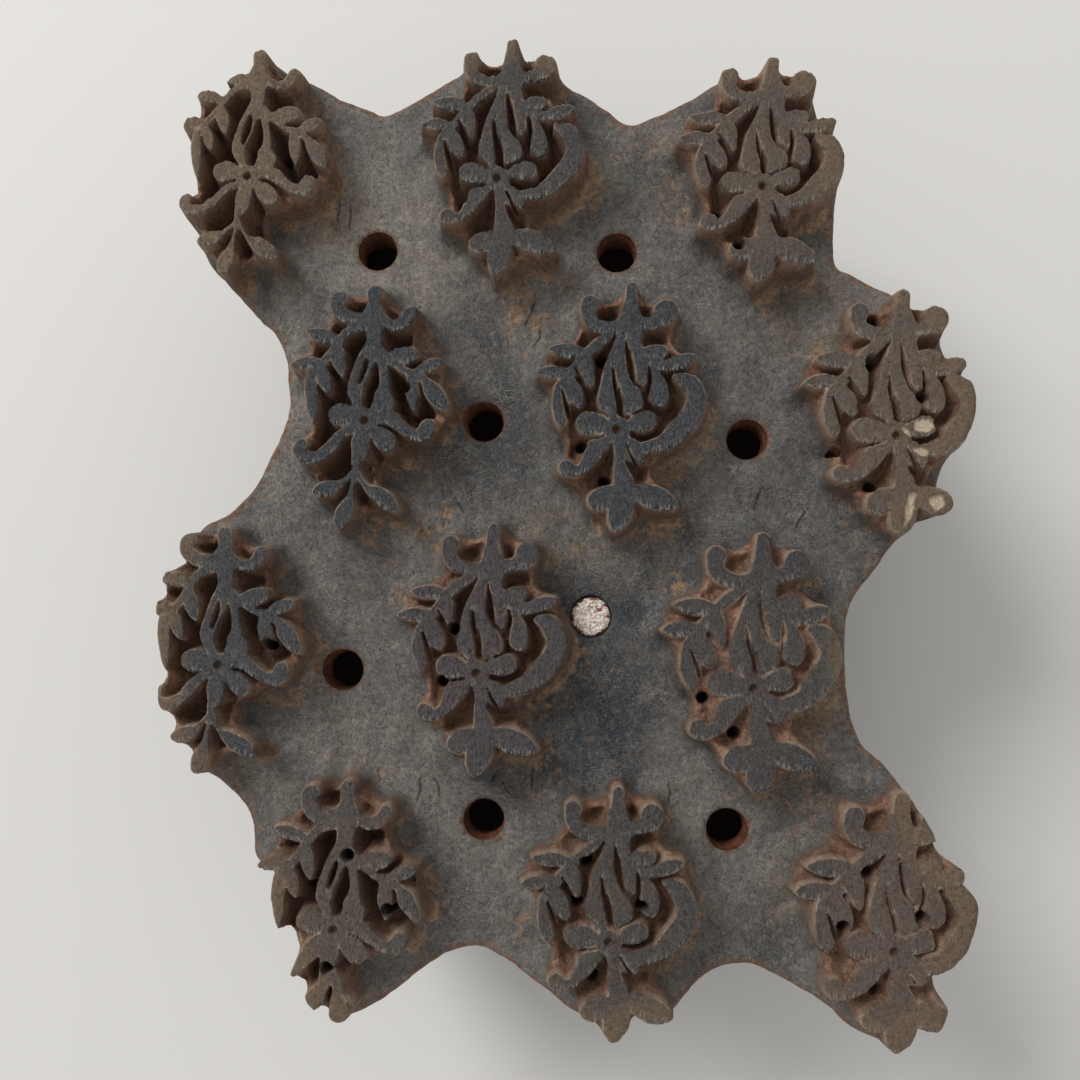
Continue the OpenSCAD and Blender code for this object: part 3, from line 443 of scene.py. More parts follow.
carving = {
    "gridStep": 0.25,
    "discSpacing": 0.4,  # between the discs that make up a stroke or leaf
    "slitSpacing": 0.3,
    "rimSpacing": 0.8,
    "reach": 6.0,  # how far from a stroke its surround is worked out
    "rimReach": 8.0,
    "widestHalf": 2.5,  # more than the half width of any stroke
    "flowerRadius": 2.6,
    "eyeEdge": (0.45, 0.9),  # radius of the drilled centre of a flower, at its bottom and its top
    "eyeDepth": 1.3,
    "bendReach": 10.0,  # below this far under the flower a tail has its full bend
    "handWobble": 0.22,  # how far the knife strayed from the drawing
    "driftSize": 7,
    "shakeSize": 1.6,  # of its short unevenness, and how strong that is beside the drift
    "shakeShare": 0.55,
    "gougeRadius": 0.5,  # rounding where two strokes meet
    "pitRadius": 1.2,
    "pitDepth": 4.0,
    "pitFrom": -8.0,  # a pit goes down from this level or a lower one
    "seatRadius": 4.03,
    "seatDepth": 1.5,  # below the carved floor
    "steepShare": 0.60,  # share of the relief that is cut as a steep wall
    "steepRun": 0.30,
    "slopeRun": 2.2,  # how far the concave foot of a wall runs out
    "topWear": (0.04, 0.10),  # how far a top has sunk, at least and besides
    "edgeWear": 0.22,
    "edgeRun": 0.35,
    "rimWear": ((0.55, 0.35), (0.2, 1.2)),  # depths at the very edge, and how far they run in
    "ventWear": ((0.35, 0.3), (0.2, 1.2)),
    "seatWear": ((0.35, 0.5),),
    "ribDepth": 0.55,  # how deep the grain stands open where an edge runs across it
    "ribWidth": 0.55,
    "ribRun": 0.6,
    "floorWave": 0.35,
    "toolMark": 0.10,
    "scoopAt": 2.1,  # how far from a stroke its surround is deepest
    "scoopWidth": 1.7,
    "roughFloor": 0.12,  # height of splinters on the floor, and what torn grain and gaps add
    "roughTorn": 0.6,
    "roughPocket": 0.9,
    "roughWeb": 0.5,
    "crackDepth": 0.35,
    "webSpan": 3.2,  # half the width of the gaps that the strokes enclose
    "webFrom": (0.94, 0.995),  # share of widened strokes round a point that makes it part of a gap
    "webBorder": 2.6,
    "borderFrom": (0.92, 0.72),  # share of gap round a point that puts it at the outside of a spray
    "webFill": (0.15, 0.65),  # share of its depth that a gap between strokes lacks, at least and besides
    "pocketFill": 0.45,  # share of the rest that a pocket between leaf tips lacks
    "rimNick": 0.45,
    "chipDepth": 0.8,
}


# Points of a spray's own drawing, set on the block: stretched, bent at the tail and turned
def placed(spray, points):
    x = points[:, 0] * np.where(points[:, 0] < 0, *spray["wide"])
    y = points[:, 1] * np.where(points[:, 1] < 0, *spray["long"])
    a = np.radians(spray["turn"] + spray["bend"] * np.clip(-points[:, 1] / carving["bendReach"], 0, 1))
    c, s = np.cos(a), np.sin(a)
    out = points.copy()
    out[:, :2] = fromSpray(spray["at"]) + np.stack([x * c - y * s, x * s + y * c], 1)
    return out


# A leaf as a row of discs: its half width is a half sine wave along it, raised to the
# fullness, and no disc reaches past the tip
def leafDiscs(leaf):
    base, tip = np.array(leaf[:2], float), np.array(leaf[2:4], float)
    length = np.hypot(*(tip - base))
    t = np.linspace(0.03, 0.985, max(8, int(length / carving["discSpacing"])))[:, None]
    half = leaf[4] / 2 * np.sin(np.pi * t ** (math.log(0.5) / math.log(leaf[5]))) ** leaf[6]
    half = np.minimum(half, (1 - t) * length + 0.12)
    return np.hstack([base + (tip - base) * t, half])


# All strokes and leaves of a spray as rows of discs
def sprayElements(spray):
    strokes, leaves = (openStrokes, openLeaves) if spray["at"][0] == 0 else (fullStrokes, fullLeaves)
    spacing = carving["discSpacing"]
    chains = [throughKnots(s, spacing) for s in strokes] + [leafDiscs(leaf) for leaf in leaves]
    chains = [c for k, c in enumerate(chains) if k not in spray.get("without", ())]
    chains += [throughKnots(s, spacing) for s in spray.get("also", ())]
    chains.append(np.array([[0, 0, carving["flowerRadius"]]], float))
    chains = [placed(spray, c) for c in chains]
    for chain in chains:
        chain[:, 2] -= spray["thin"]
    return chains


rimLine = throughKnots([fromSpray(e) for e in ungrouped(rim)], carving["rimSpacing"], closed=True)
ventPlaces = np.array([fromSpray(v) for v in vents])
pitPlaces = np.array([fromSpray(p) for p in ungrouped(pits)])

step = carving["gridStep"]
startX, startY = np.floor(rimLine.min(0)) - 2
endX, endY = np.ceil(rimLine.max(0)) + 2
columnsX = np.arange(startX, endX, step)
rowsY = np.arange(startY, endY, step)
baseX, baseY = np.meshgrid(columnsX, rowsY)


# The part of the grid that covers a box and a margin round it
def window(lowX, highX, lowY, highY, margin):
    i0 = max(0, int((lowX - margin - startX) / step))
    i1 = min(len(columnsX), int((highX + margin - startX) / step) + 2)
    j0 = max(0, int((lowY - margin - startY) / step))
    j1 = min(len(rowsY), int((highY + margin - startY) / step) + 2)
    return slice(j0, j1), slice(i0, i1)


# The drawing shifted as a hand strays: slow drift and short unevenness
def wobbled(x, y):
    c = carving
    dx, dy = (c["handWobble"] * (valueNoise(x, y, c["driftSize"], seed)
                                 + c["shakeShare"] * fractal(x, y, c["shakeSize"], seed + 1, 2))
              for seed in (11, 13))
    return x + dx, y + dy


# Distance to the nearest stroke, less than 0 inside: the least distance to any disc of any
# chain, with the chains blended over the gouge's radius, and less the slits
def strokeDistance(x, y):
    wx, wy = wobbled(x, y)
    reach, blend = carving["reach"], carving["gougeRadius"]
    total = np.full(x.shape, reach)
    for spray in sprays:
        slits = [] if spray["at"][0] == 0 else [
            placed(spray, throughKnots(s, carving["slitSpacing"])) for s in fullSlits]
        for chain in slits:
            chain[:, 2] += spray["slit"]
        for cut, chain in [(False, c) for c in sprayElements(spray)] + [(True, c) for c in slits]:
            w = window(chain[:, 0].min(), chain[:, 0].max(), chain[:, 1].min(), chain[:, 1].max(),
                       reach + carving["widestHalf"])
            px, py = wx[w], wy[w]
            near = np.full(px.shape, 99.0)
            for cx, cy, r in chain:
                np.minimum(near, np.sqrt((px - cx) ** 2 + (py - cy) ** 2) - r, out=near)
            old = total[w]
            if cut:
                total[w] = np.maximum(old, -near)
            else:
                h = np.clip(1 - np.abs(old - near) / blend, 0, None)
                total[w] = np.minimum(old, near) - h * h * blend / 4
    return total


# Distance to the sawn rim, less than 0 inside the block, and the place along the rim
def rimDistance(x, y):
    reach = carving["rimReach"]
    near = np.full(x.shape, reach)
    along = np.zeros(x.shape)
    inside = np.zeros(x.shape, bool)
    ends = np.roll(rimLine, -1, axis=0)
    for k, (a, b) in enumerate(zip(rimLine, ends)):
        w = window(min(a[0], b[0]), max(a[0], b[0]), min(a[1], b[1]), max(a[1], b[1]), reach)
        px, py = x[w] - a[0], y[w] - a[1]
        dx, dy = b - a
        t = np.clip((px * dx + py * dy) / (dx * dx + dy * dy), 0, 1)
        d = np.sqrt((px - t * dx) ** 2 + (py - t * dy) ** 2)
        closer = d < near[w]
        near[w] = np.where(closer, d, near[w])
        along[w] = np.where(closer, k + t, along[w])
        j0, j1 = np.searchsorted(rowsY, sorted((a[1], b[1])))
        if j1 > j0:  # grid rows that this span of the rim crosses change sides to its left
            crossX = a[0] + (rowsY[j0:j1] - a[1]) * dx / dy
            inside[j0:j1] ^= baseX[j0:j1] < crossX[:, None]
    return np.where(inside, -near, near), along


# Distance to the nearest of some discs, less than 0 inside
def discDistance(x, y, places, radius, limit=6.0):
    near = np.full(x.shape, limit)
    for cx, cy in places:
        w = window(cx, cx, cy, cy, radius + limit + 1)
        near[w] = np.minimum(near[w], np.sqrt((x[w] - cx) ** 2 + (y[w] - cy) ** 2) - radius)
    return near


# A field averaged over a bell curve of this size, by way of its frequencies
def blurred(field, size):
    fi = np.fft.fftfreq(field.shape[0], step)[:, None]
    fj = np.fft.rfftfreq(field.shape[1], step)[None, :]
    bell = np.exp(-2 * (np.pi * size) ** 2 * (fi * fi + fj * fj))
    return np.fft.irfft2(np.fft.rfft2(field) * bell, field.shape)


# A field averaged over discs of this radius, the same way
def discMean(field, radius):
    i, j = (np.minimum(np.arange(n), n - np.arange(n)) * step for n in field.shape)
    disc = (np.hypot(i[:, None], j) <= radius).astype(float)
    return np.fft.irfft2(np.fft.rfft2(field) * np.fft.rfft2(disc / disc.sum()), field.shape)


airways = {
    "ventRadius": 4.0,
    "ventNeck": 3.6,  # radius below the worn mouth of a vent
    "mouthDepth": 3.0,
    "deeperFrom": 4,  # from this vent on, the worn mouths are deeper
    "rings": 24,
    "channelRadius": 4.5,
    "channelLevel": -22.0,
    "around": 72,
    "spacing": 0.8,
    "apart": 9.0,  # a distance from any vent at which nothing is cut
}

print("printing block: grid of", baseX.shape)

# Grid points near a line of the carving are moved onto it, so that edges come out clean
nick = carving["rimNick"] * (0.5 + 0.5 * fractal(baseX, baseY, 2.6, 31, 4)) ** 2
rimD, rimAlong = rimDistance(baseX, baseY)
contours = {
    "rim": rimD + nick,
    "vent": -discDistance(baseX, baseY, ventPlaces, airways["ventRadius"]),
    "pit": discDistance(baseX, baseY, pitPlaces, carving["pitRadius"]),
    "stroke": strokeDistance(baseX, baseY),
}
gridX, gridY = baseX.copy(), baseY.copy()
onLine = np.zeros(baseX.shape, int)
for number, field in enumerate(contours.values(), 1):
    near, moveY, moveX = ontoLine(field)
    near &= onLine == 0
    gridX = np.where(near, baseX + moveX * step, gridX)
    gridY = np.where(near, baseY + moveY * step, gridY)
    onLine = np.where(near, number, onLine)

domain = np.maximum(contours["rim"], contours["vent"])
onContour = {key: onLine == number for number, key in enumerate(contours, 1)}
onRim, onVent = onContour["rim"], onContour["vent"]
onEdge = onRim | onVent
fromStroke = np.where(onContour["stroke"], 0.0, strokeDistance(gridX, gridY))
fromPit = discDistance(gridX, gridY, pitPlaces, carving["pitRadius"])
fromRim = np.where(onRim, 0.0, -contours["rim"])
fromVent = np.where(onVent, 0.0, discDistance(gridX, gridY, ventPlaces, airways["ventRadius"]))
rivetGap = np.hypot(gridX - rivetPlace[0], gridY - rivetPlace[1])
outside, within = np.maximum(fromStroke, 0), np.maximum(-fromStroke, 0)
onStroke = 1 - ease(fromStroke, -0.1, 0.1)

# Gaps that strokes enclose: the strokes widened and narrowed again by the same span; and of these
# the ones at the outside of a spray
widened = (fromStroke <= carving["webSpan"]).astype(float)
web = ease(discMean(widened, carving["webSpan"]), *carving["webFrom"])
border = ease(blurred(web, carving["webBorder"]), *carving["borderFrom"])
print("printing block: lines traced")

marks = {
    "sprayMiddle": (0.0, 4.0),  # from its flower
    "sprayReach": (17, 24),  # how far its mood reaches across the grain and along it
    "chipRagged": 0.45,
    "chipEdge": (0.75, 1.1),
    "crackWave": 0.5,
    "crackWidth": 0.16,
    "crackClear": (0.8, 1.6),  # how far from a stroke cracks begin
    "toneShares": (0.45, 0.60, 0.08, 0.40, 0.20),  # even, zones, painted shade beside strokes, clouds, grain
    "shadeBesideRun": 2.5,
}

# How each spray colours and shapes its surround, fading out beyond it
mood = {key: np.zeros(baseX.shape) for key in ("dust", "warm", "pale", "scoop", "fill")}
closeness = np.zeros(baseX.shape)
for spray in sprays:
    cx, cy = fromSpray(spray["at"]) + np.array(marks["sprayMiddle"])
    reachX, reachY = marks["sprayReach"]
    fall = np.exp(-(((gridX - cx) / reachX) ** 2 + ((gridY - cy) / reachY) ** 2) ** 2)
    closeness += fall
    for key in mood:
        mood[key] += fall * spray[key]
for key in mood:
    mood[key] /= np.maximum(closeness, 1.0)

# Chips, as ragged ovals
chipped, chipPale = np.zeros(baseX.shape), np.zeros(baseX.shape)
ragged = marks["chipRagged"] * fractal(gridX, gridY, 1.4, 71, 3)
for chip in ungrouped(chips):
    cx, cy = fromSpray(chip)
    halfWide, halfLong, turn, paleness = chip[4:]
    c, s = directionOf(turn)
    w = window(cx, cx, cy, cy, 6)
    dx, dy = gridX[w] - cx, gridY[w] - cy
    oval = np.hypot((dx * c + dy * s) / halfWide, (dy * c - dx * s) / halfLong)
    shape = 1 - ease(oval + ragged[w], *marks["chipEdge"])
    chipped[w] = np.maximum(chipped[w], shape)
    chipPale[w] = np.maximum(chipPale[w], shape * paleness)

# Cracks, as wavy lines along the grain
cracked = np.zeros(baseX.shape)
for k, (cx, cy, length, lean) in enumerate(cracks):
    w = window(cx, cx, cy, cy, length)
    c, s = directionOf(lean)
    dx, dy = gridX[w] - cx, gridY[w] - cy
    side = dx * c - dy * s + marks["crackWave"] * valueNoise(dy, dy * 0 + k, 1.7, 72)
    along = np.abs(dy * c + dx * s) / (length / 2)
    cracked[w] = np.maximum(cracked[w],
                            np.exp(-(side / marks["crackWidth"]) ** 2) * ease(along, 1.0, 0.6))
cracked *= ease(outside, *marks["crackClear"])

# Torn places, ragged by noise that is stretched along the grain
torn = np.zeros(baseX.shape)
for cx, cy, radius, strength in tornPlaces:
    fall = np.exp(-((gridX - cx) ** 2 + (gridY - cy) ** 2) / radius ** 2)
    torn = np.maximum(torn, strength * fall)
torn *= ease(fractal(gridX * 1.5, gridY, 2.6, 73, 4) + 0.5 * torn, -0.05, 0.5)

# How pale and how ochre the floor is: its zones added up, a painted shade beside the strokes, with
# clouds and grain from noise
tone, ochre = np.zeros(baseX.shape), np.zeros(baseX.shape)
for cx, cy, radius, pale, yellow in floorZones:
    fall = np.exp(-((gridX - cx) ** 2 + (gridY - cy) ** 2) / radius ** 2)
    tone += pale * fall
    ochre += yellow * fall
even, zoned, shadeBeside, cloudy, grainy = marks["toneShares"]
tone = np.clip(even + zoned * tone - shadeBeside * np.exp(-outside / marks["shadeBesideRun"])
               + cloudy * fractal(gridX, gridY * 0.7, 14, 74, 5)
               + grainy * fractal(gridX, gridY * 0.5, 2.6, 75, 4), 0, 1)
ochre = np.clip(ochre * ease(fractal(gridX, gridY, 7, 76, 4), -0.35, 0.45), 0, 1)

# Pockets between leaves at the outside of a spray are only roughed out
pocket = web * border * ease(fractal(gridX, gridY, 5, 77, 3), -0.45, 0.15)


# What has worn off beside an edge: depths that fade with the distance from it, each over its run
def wornOff(distance, wears):
    return sum(depth * np.exp(-distance.clip(0) / run) for depth, run in wears)


# Height of the carved face below the printing level: a worn top, a steep wall that runs out in a
# concave foot, a scooped surround, an uneven floor, pits, chips and worn edges
def faceHeight(x, y):
    c = carving
    chisel = 1 + 0.45 * fractal(x, y, 1.1, 41, 2)
    ribs = ease(valueNoise(x, y * 0.12, c["ribWidth"], 47), -0.3, 0.5)
    ribs = ribs * np.clip(acrossGrain ** 2, 0.1, 1)
    top = (-c["topWear"][0] - c["topWear"][1] * (0.5 + 0.5 * fractal(x, y, 6, 42, 3))
           - c["edgeWear"] * np.exp(-within / c["edgeRun"])
           - c["ribDepth"] * ribs * np.exp(-within / c["ribRun"]))
    wave = (c["floorWave"] * (fractal(x, y, 22, 43, 3) + 0.35 * valueNoise(x, y * 0.35, 3.2, 44))
            + c["toolMark"] * fractal(x, y, 2.0, 48, 3))
    rough = c["roughFloor"] + c["roughTorn"] * torn + c["roughPocket"] * pocket + c["roughWeb"] * web
    rough = rough * fractal(x, y * 0.5, 1.1, 49, 4)
    scoop = mood["scoop"] * np.exp(-((outside - c["scoopAt"]) / c["scoopWidth"]) ** 2)
    scoop = scoop * (0.75 + 0.5 * fractal(x, y, 7, 45, 2))
    share = web * (c["webFill"][0] + c["webFill"][1] * mood["fill"])
    share = share * (1 + 0.25 * fractal(x, y, 5, 50, 2))
    full = (-floorLevel - wave - rough) * (1 - share) * (1 - c["pocketFill"] * pocket)
    steep = 1 - np.exp(-outside / (c["steepRun"] * chisel))
    slope = 1 - np.exp(-outside / (c["slopeRun"] * (1 + 0.3 * fractal(x, y, 4, 46, 2))))
    z = top - (full + top) * (c["steepShare"] * steep + (1 - c["steepShare"]) * slope)
    z -= scoop * ease(outside, 0.4, 1.6) * (1 - pocket)
    z -= c["crackDepth"] * cracked + c["chipDepth"] * chipped * (1 - 0.5 * ease(outside, 0, 1))
    # Pits go down from the floor of their gap
    inPit = 1 - ease(fromPit, -0.45, 0.05)
    pitFloor = (np.minimum(z, c["pitFrom"])
                - c["pitDepth"] * (0.85 + 0.15 * ease(-fromPit, 0.2, 1.2)))
    z = z + (pitFloor - z) * inPit
    z -= wornOff(fromRim, c["rimWear"])
    z -= wornOff(fromVent, c["ventWear"])
    # Seat of the rivet's head, cut a little wide
    seat = 1 - ease(rivetGap, c["seatRadius"] - 0.12, c["seatRadius"] + 0.15)
    z -= wornOff(rivetGap - c["seatRadius"], c["seatWear"])
    z = z + (floorLevel - c["seatDepth"] - z) * seat
    return np.minimum(z, 0)


acrossGrain = np.gradient(fromStroke, axis=0) / step  # 1 or -1 where an edge runs across the grain
height = faceHeight(gridX, gridY)
eye = np.zeros(baseX.shape)
for spray in sprays:  # the drilled centre of each flower
    cx, cy = fromSpray(spray["at"])
    eye = np.maximum(eye, 1 - ease(np.hypot(gridX - cx, gridY - cy), *carving["eyeEdge"]))
height -= carving["eyeDepth"] * eye

triangles = cellTriangles(height, onLine)
keepTriangle = keptSide(triangles, domain, onEdge)
facePoints = inFrame(np.stack([gridX.ravel(), gridY.ravel(), height.ravel()], 1))
faceNormals = vertexNormals(facePoints, triangles[keepTriangle])
print("printing block: face of", int(keepTriangle.sum()), "triangles")

bareWoodAndShadow = {
    "bandShift": 1.6,  # how far the brown band of painted shadow lies off its stroke, to the right and below, away from the lamp; the painted highlight lies as far off the other way
    "bandBlur": 1.3,
    "bandFrom": (0.04, 0.42),
    "farBlur": 2.4,  # a wider and weaker band of painted shadow, twice as far off
    "farFrom": (0.05, 0.45),
    "farShare": 0.75,
    "sunBlur": 0.9,  # on the other side of a stroke, towards the lamp, its edge is tan: a painted highlight
    "sunFrom": (0.02, 0.3),
    "closeRun": (0.35, 0.45),  # how far the bare foot of a stroke runs out, at least and besides
    "rimShares": (0.25, 0.9),  # how bare the rim is, at least and besides, and how far that runs in
    "rimRun": 1.3,
    "ventShares": (0.15, 0.8),
    "ventRun": 0.8,
    "rimDust": 0.9,
    "holdsOff": (0.8, 2.2),  # how far from the rim and the vents the brown foot of a wall begins
}


# How much of the strokes, blurred, lies to the left and above of each place, or to its right and
# below where the shift is less than 0
def shiftedBlur(size, shift):
    cells = int(round(bareWoodAndShadow["bandShift"] / step)) * shift
    return np.roll(blurred(onStroke, size), (-cells, cells), (0, 1))


# Where wood is bare and brown: on the walls and in the pockets. With it goes a ragged band of painted
# shadow to the right of the strokes and below them, on the side away from the lamp
bareNoise = 0.5 + 0.5 * fractal(gridX, gridY, 3.6, 51, 5)
leeShadow = ease(shiftedBlur(bareWoodAndShadow["bandBlur"], 1), *bareWoodAndShadow["bandFrom"])
farLeeShadow = ease(shiftedBlur(bareWoodAndShadow["farBlur"], 2), *bareWoodAndShadow["farFrom"])
litSide = shiftedBlur(bareWoodAndShadow["sunBlur"], -1)
shadowBand = np.maximum(leeShadow * ease(fractal(gridX, gridY, 9, 52, 3), -0.6, 0.2),
                  bareWoodAndShadow["farShare"] * farLeeShadow * ease(fractal(gridX, gridY, 12, 53, 3), -0.35, 0.35))
closeRun = bareWoodAndShadow["closeRun"][0] + bareWoodAndShadow["closeRun"][1] * bareNoise
bareAndShadow = np.maximum(np.maximum(np.exp(-(outside / closeRun) ** 2), 0.9 * shadowBand), web)
bareAndShadow = np.clip(np.maximum(bareAndShadow, torn) * (0.45 + 0.75 * bareNoise), 0, 1)
bareAndShadow = np.maximum(bareAndShadow, web * ease(-height, 1.0, 2.5))
for key, distance in (("rim", fromRim), ("vent", fromVent)):
    least, more = bareWoodAndShadow[key + "Shares"]
    bareAndShadow = np.maximum(bareAndShadow, (least + more * bareNoise)
                      * np.exp(-(distance / bareWoodAndShadow[key + "Run"]) ** 2))
rimDust = bareWoodAndShadow["rimDust"] * ease(fromRim, carving["rimReach"], 1)
mood["dust"] = np.clip(mood["dust"] + rimDust, 0, 1)
fresh = (pocket + web * mood["fill"] ** 2) * (0.3 + 0.9 * bareNoise)
fresh = np.clip(fresh + chipped * (1 - chipPale) + 0.3 * torn * bareNoise, 0, 1)
fresh *= ease(-height, 0.25, 0.8)
# Tan along the tops' edges: a little everywhere and more in the pockets as wear, a painted highlight on
# the edges that face the lamp, and less in the painted shadow band
tan = (0.15 + 0.9 * ease(bareNoise, 0.35, 0.7) * ease(litSide, *bareWoodAndShadow["sunFrom"]) + 0.7 * pocket
       - 0.3 * shadowBand)
tan = np.clip(tan, 0, 1)
foot = ease(outside, 0.2, 1.7) * (1 - web)
foot = foot * ease(fromRim, *bareWoodAndShadow["holdsOff"]) * ease(fromVent, *bareWoodAndShadow["holdsOff"])

# What the carved wood's material reads at each point
values = {
    "fromStroke": np.clip(fromStroke, -3, 6),
    # bare wood, and the painted shadow band to the right of the strokes and below them
    "bareWoodAndShadow": bareAndShadow,
    "freshWood": fresh,
    # painted shade: the gaps between strokes are darker the deeper they go
    "gapDepthShade": web * ease(-height, 4.0, 8.0),
    "foot": foot,
    # tan edges: wear, and a painted highlight on the edges towards the lamp
    "tanEdgeAndHighlight": tan,
    "chipped": chipPale,
    "dust": mood["dust"],
    "warm": mood["warm"],
    "pale": mood["pale"],
    "tone": tone,
    "ochre": ochre,
    "cracked": cracked,
    "eye": eye,
    "comb": np.clip(-acrossGrain, 0, 1) ** 2 * np.exp(-within / 0.7),
    "depth": -height,
}

# One piece round each spray, cut apart between the rows and then between the columns
tileRows = [np.searchsorted(rowsY, sprayAt(0, r + 0.5)[1] + pattern["cutAbove"])
            for r in range(pattern["rows"])]
tileRows[-1] = 0
rowTop = len(rowsY) - 1
flatValues = {key: v.ravel() for key, v in values.items()}
facePieces = []
for row in range(pattern["rows"]):
    rowLow = tileRows[row]
    cuts = [0, *(int(np.searchsorted(columnsX, sprayAt(c + 0.5, row)[0]))
                 for c in range(pattern["columns"] - 1)), len(columnsX) - 1]
    for column in range(pattern["columns"]):
        cells = (slice(rowLow, rowTop), slice(cuts[column], cuts[column + 1]))
        facePieces.append(makePart(f"carved_spray_{row + 1}_{column + 1}",
                                   triangles[cells][keepTriangle[cells]], facePoints, faceNormals,
                                   flatValues))
    rowTop = rowLow

usedPoints = np.zeros(height.size, bool)
usedPoints[np.unique(triangles[keepTriangle])] = True
flatIndex = np.arange(height.size)
flatX, flatY, flatZ = gridX.ravel(), gridY.ravel(), height.ravel()


# How far a point is from the nearest cross channel, less than 0 inside it
def channelDistance(x, y, z):
    near = np.full(x.shape, 99.0)
    for start, way in channelAxes:
        off = (y - start[1]) * way[0] - (x - start[0]) * way[1]
        near = np.minimum(near, np.hypot(off, z - airways["channelLevel"]) - airways["channelRadius"])
    return near


channelAxes = []
for a, b in channels:
    way = ventPlaces[b] - ventPlaces[a] if a != b else np.array([1.0, 0.0])
    channelAxes.append((ventPlaces[a], way / np.hypot(*way)))

sides = {
    "sawDepth": 0.5,  # how far saw and chisel marks cut into the side
    "backRound": 0.8,
    "upperRings": 8,
    # Level rings by from, to and by: they lie closer where the channels come out
    "rings": ((-13.6, -17, -1.0), (-17, -27.2, -0.45), (-28, -41.4, -1.1)),
    "lowRings": (-42.2, -42.7),
    "smoothing": 12,
    "pieces": 6,
}


# Upright saw strokes, wider chisel flats and small tears, all into the wood
def sawMarks(length, z, total):
    around = length / total * 2 * np.pi
    ringX, ringY = 60 * np.cos(around), 60 * np.sin(around)
    flats = 0.5 + 0.5 * fractal(ringX * 1.6, ringY * 1.6 + z * 0.08, 4.0, 61, 2)
    strokes = 0.5 + 0.5 * valueNoise(length, z * 0.12, 0.7, 62)
    tears = ease(fractal(ringX * 2, ringY * 2 + z, 3.0, 63, 3), 0.35, 0.8)
    return sides["sawDepth"] * (0.45 * flats + 0.2 * strokes + 0.8 * tears)


# The sawn side: level rings of the rim's own points from the face down to the back, moved into
# the wood by the saw marks, with the round mouths of the cross channels cut out
rimPoints = flatIndex[onRim.ravel() & usedPoints]
rimPoints = rimPoints[np.argsort(rimAlong.ravel()[rimPoints])]
rimTop = np.stack([flatX[rimPoints], flatY[rimPoints]], 1)
tangent = np.roll(rimTop, -1, axis=0) - np.roll(rimTop, 1, axis=0)
for _ in range(sides["smoothing"]):  # a smooth direction into the wood
    tangent = unit(tangent)
    tangent = (np.roll(tangent, 1, 0) + 2 * tangent + np.roll(tangent, -1, 0)) / 4
tangent = unit(tangent)
inward = np.stack([tangent[:, 1], -tangent[:, 0]], 1)
length = np.concatenate([[0], np.cumsum(np.linalg.norm(np.diff(rimTop, axis=0), axis=1))])
levels = [*(np.arange(*span) for span in sides["rings"]), [*sides["lowRings"], backLevel]]
levels = np.concatenate(levels)
upper = (np.arange(sides["upperRings"]) / sides["upperRings"])[:, None]
ringZ = np.vstack([flatZ[rimPoints] * (1 - upper) + levels[0] * upper,
                   np.broadcast_to(levels[:, None], (len(levels), len(rimPoints)))])
ringX, ringY = (np.broadcast_to(rimTop[:, k], ringZ.shape) for k in (0, 1))
channelGap = channelDistance(ringX, ringY, ringZ)
onMouth, moveRow, moveColumn = ontoLine(channelGap)
slopeX, slopeY = ((np.roll(a, -1, 1) - np.roll(a, 1, 1)) / 2 for a in (ringX, ringY))
ringX, ringY = ringX + moveColumn * slopeX, ringY + moveColumn * slopeY
wave = sawMarks(np.broadcast_to(length, ringZ.shape), ringZ, length[-1])
wave *= ease(flatZ[rimPoints] - ringZ, 0, 2.0) * ease(channelGap, 0.0, 1.5)
wave += sides["backRound"] * np.exp((backLevel - ringZ) / 0.5)
ringZ = ringZ + moveRow * np.gradient(ringZ, axis=0)
sideGrid = np.stack([ringX + inward[:, 0] * wave, ringY + inward[:, 1] * wave, ringZ], -1)
sideTriangles = cellTriangles(ringZ, onMouth.astype(int), closed=True)
sideKept = keptSide(sideTriangles, -channelGap, onMouth)
sidePoints = inFrame(sideGrid.reshape(-1, 3))
sideNormals = vertexNormals(sidePoints, sideTriangles[sideKept])
sidePieces = []
cuts = np.linspace(0, len(rimPoints), sides["pieces"] + 1).astype(int)
for k, (low, high) in enumerate(zip(cuts[:-1], cuts[1:]), 1):
    sidePieces.append(makePart(f"sawn_side_{k}", sideTriangles[:, low:high][sideKept[:, low:high]],
                               sidePoints, sideNormals))

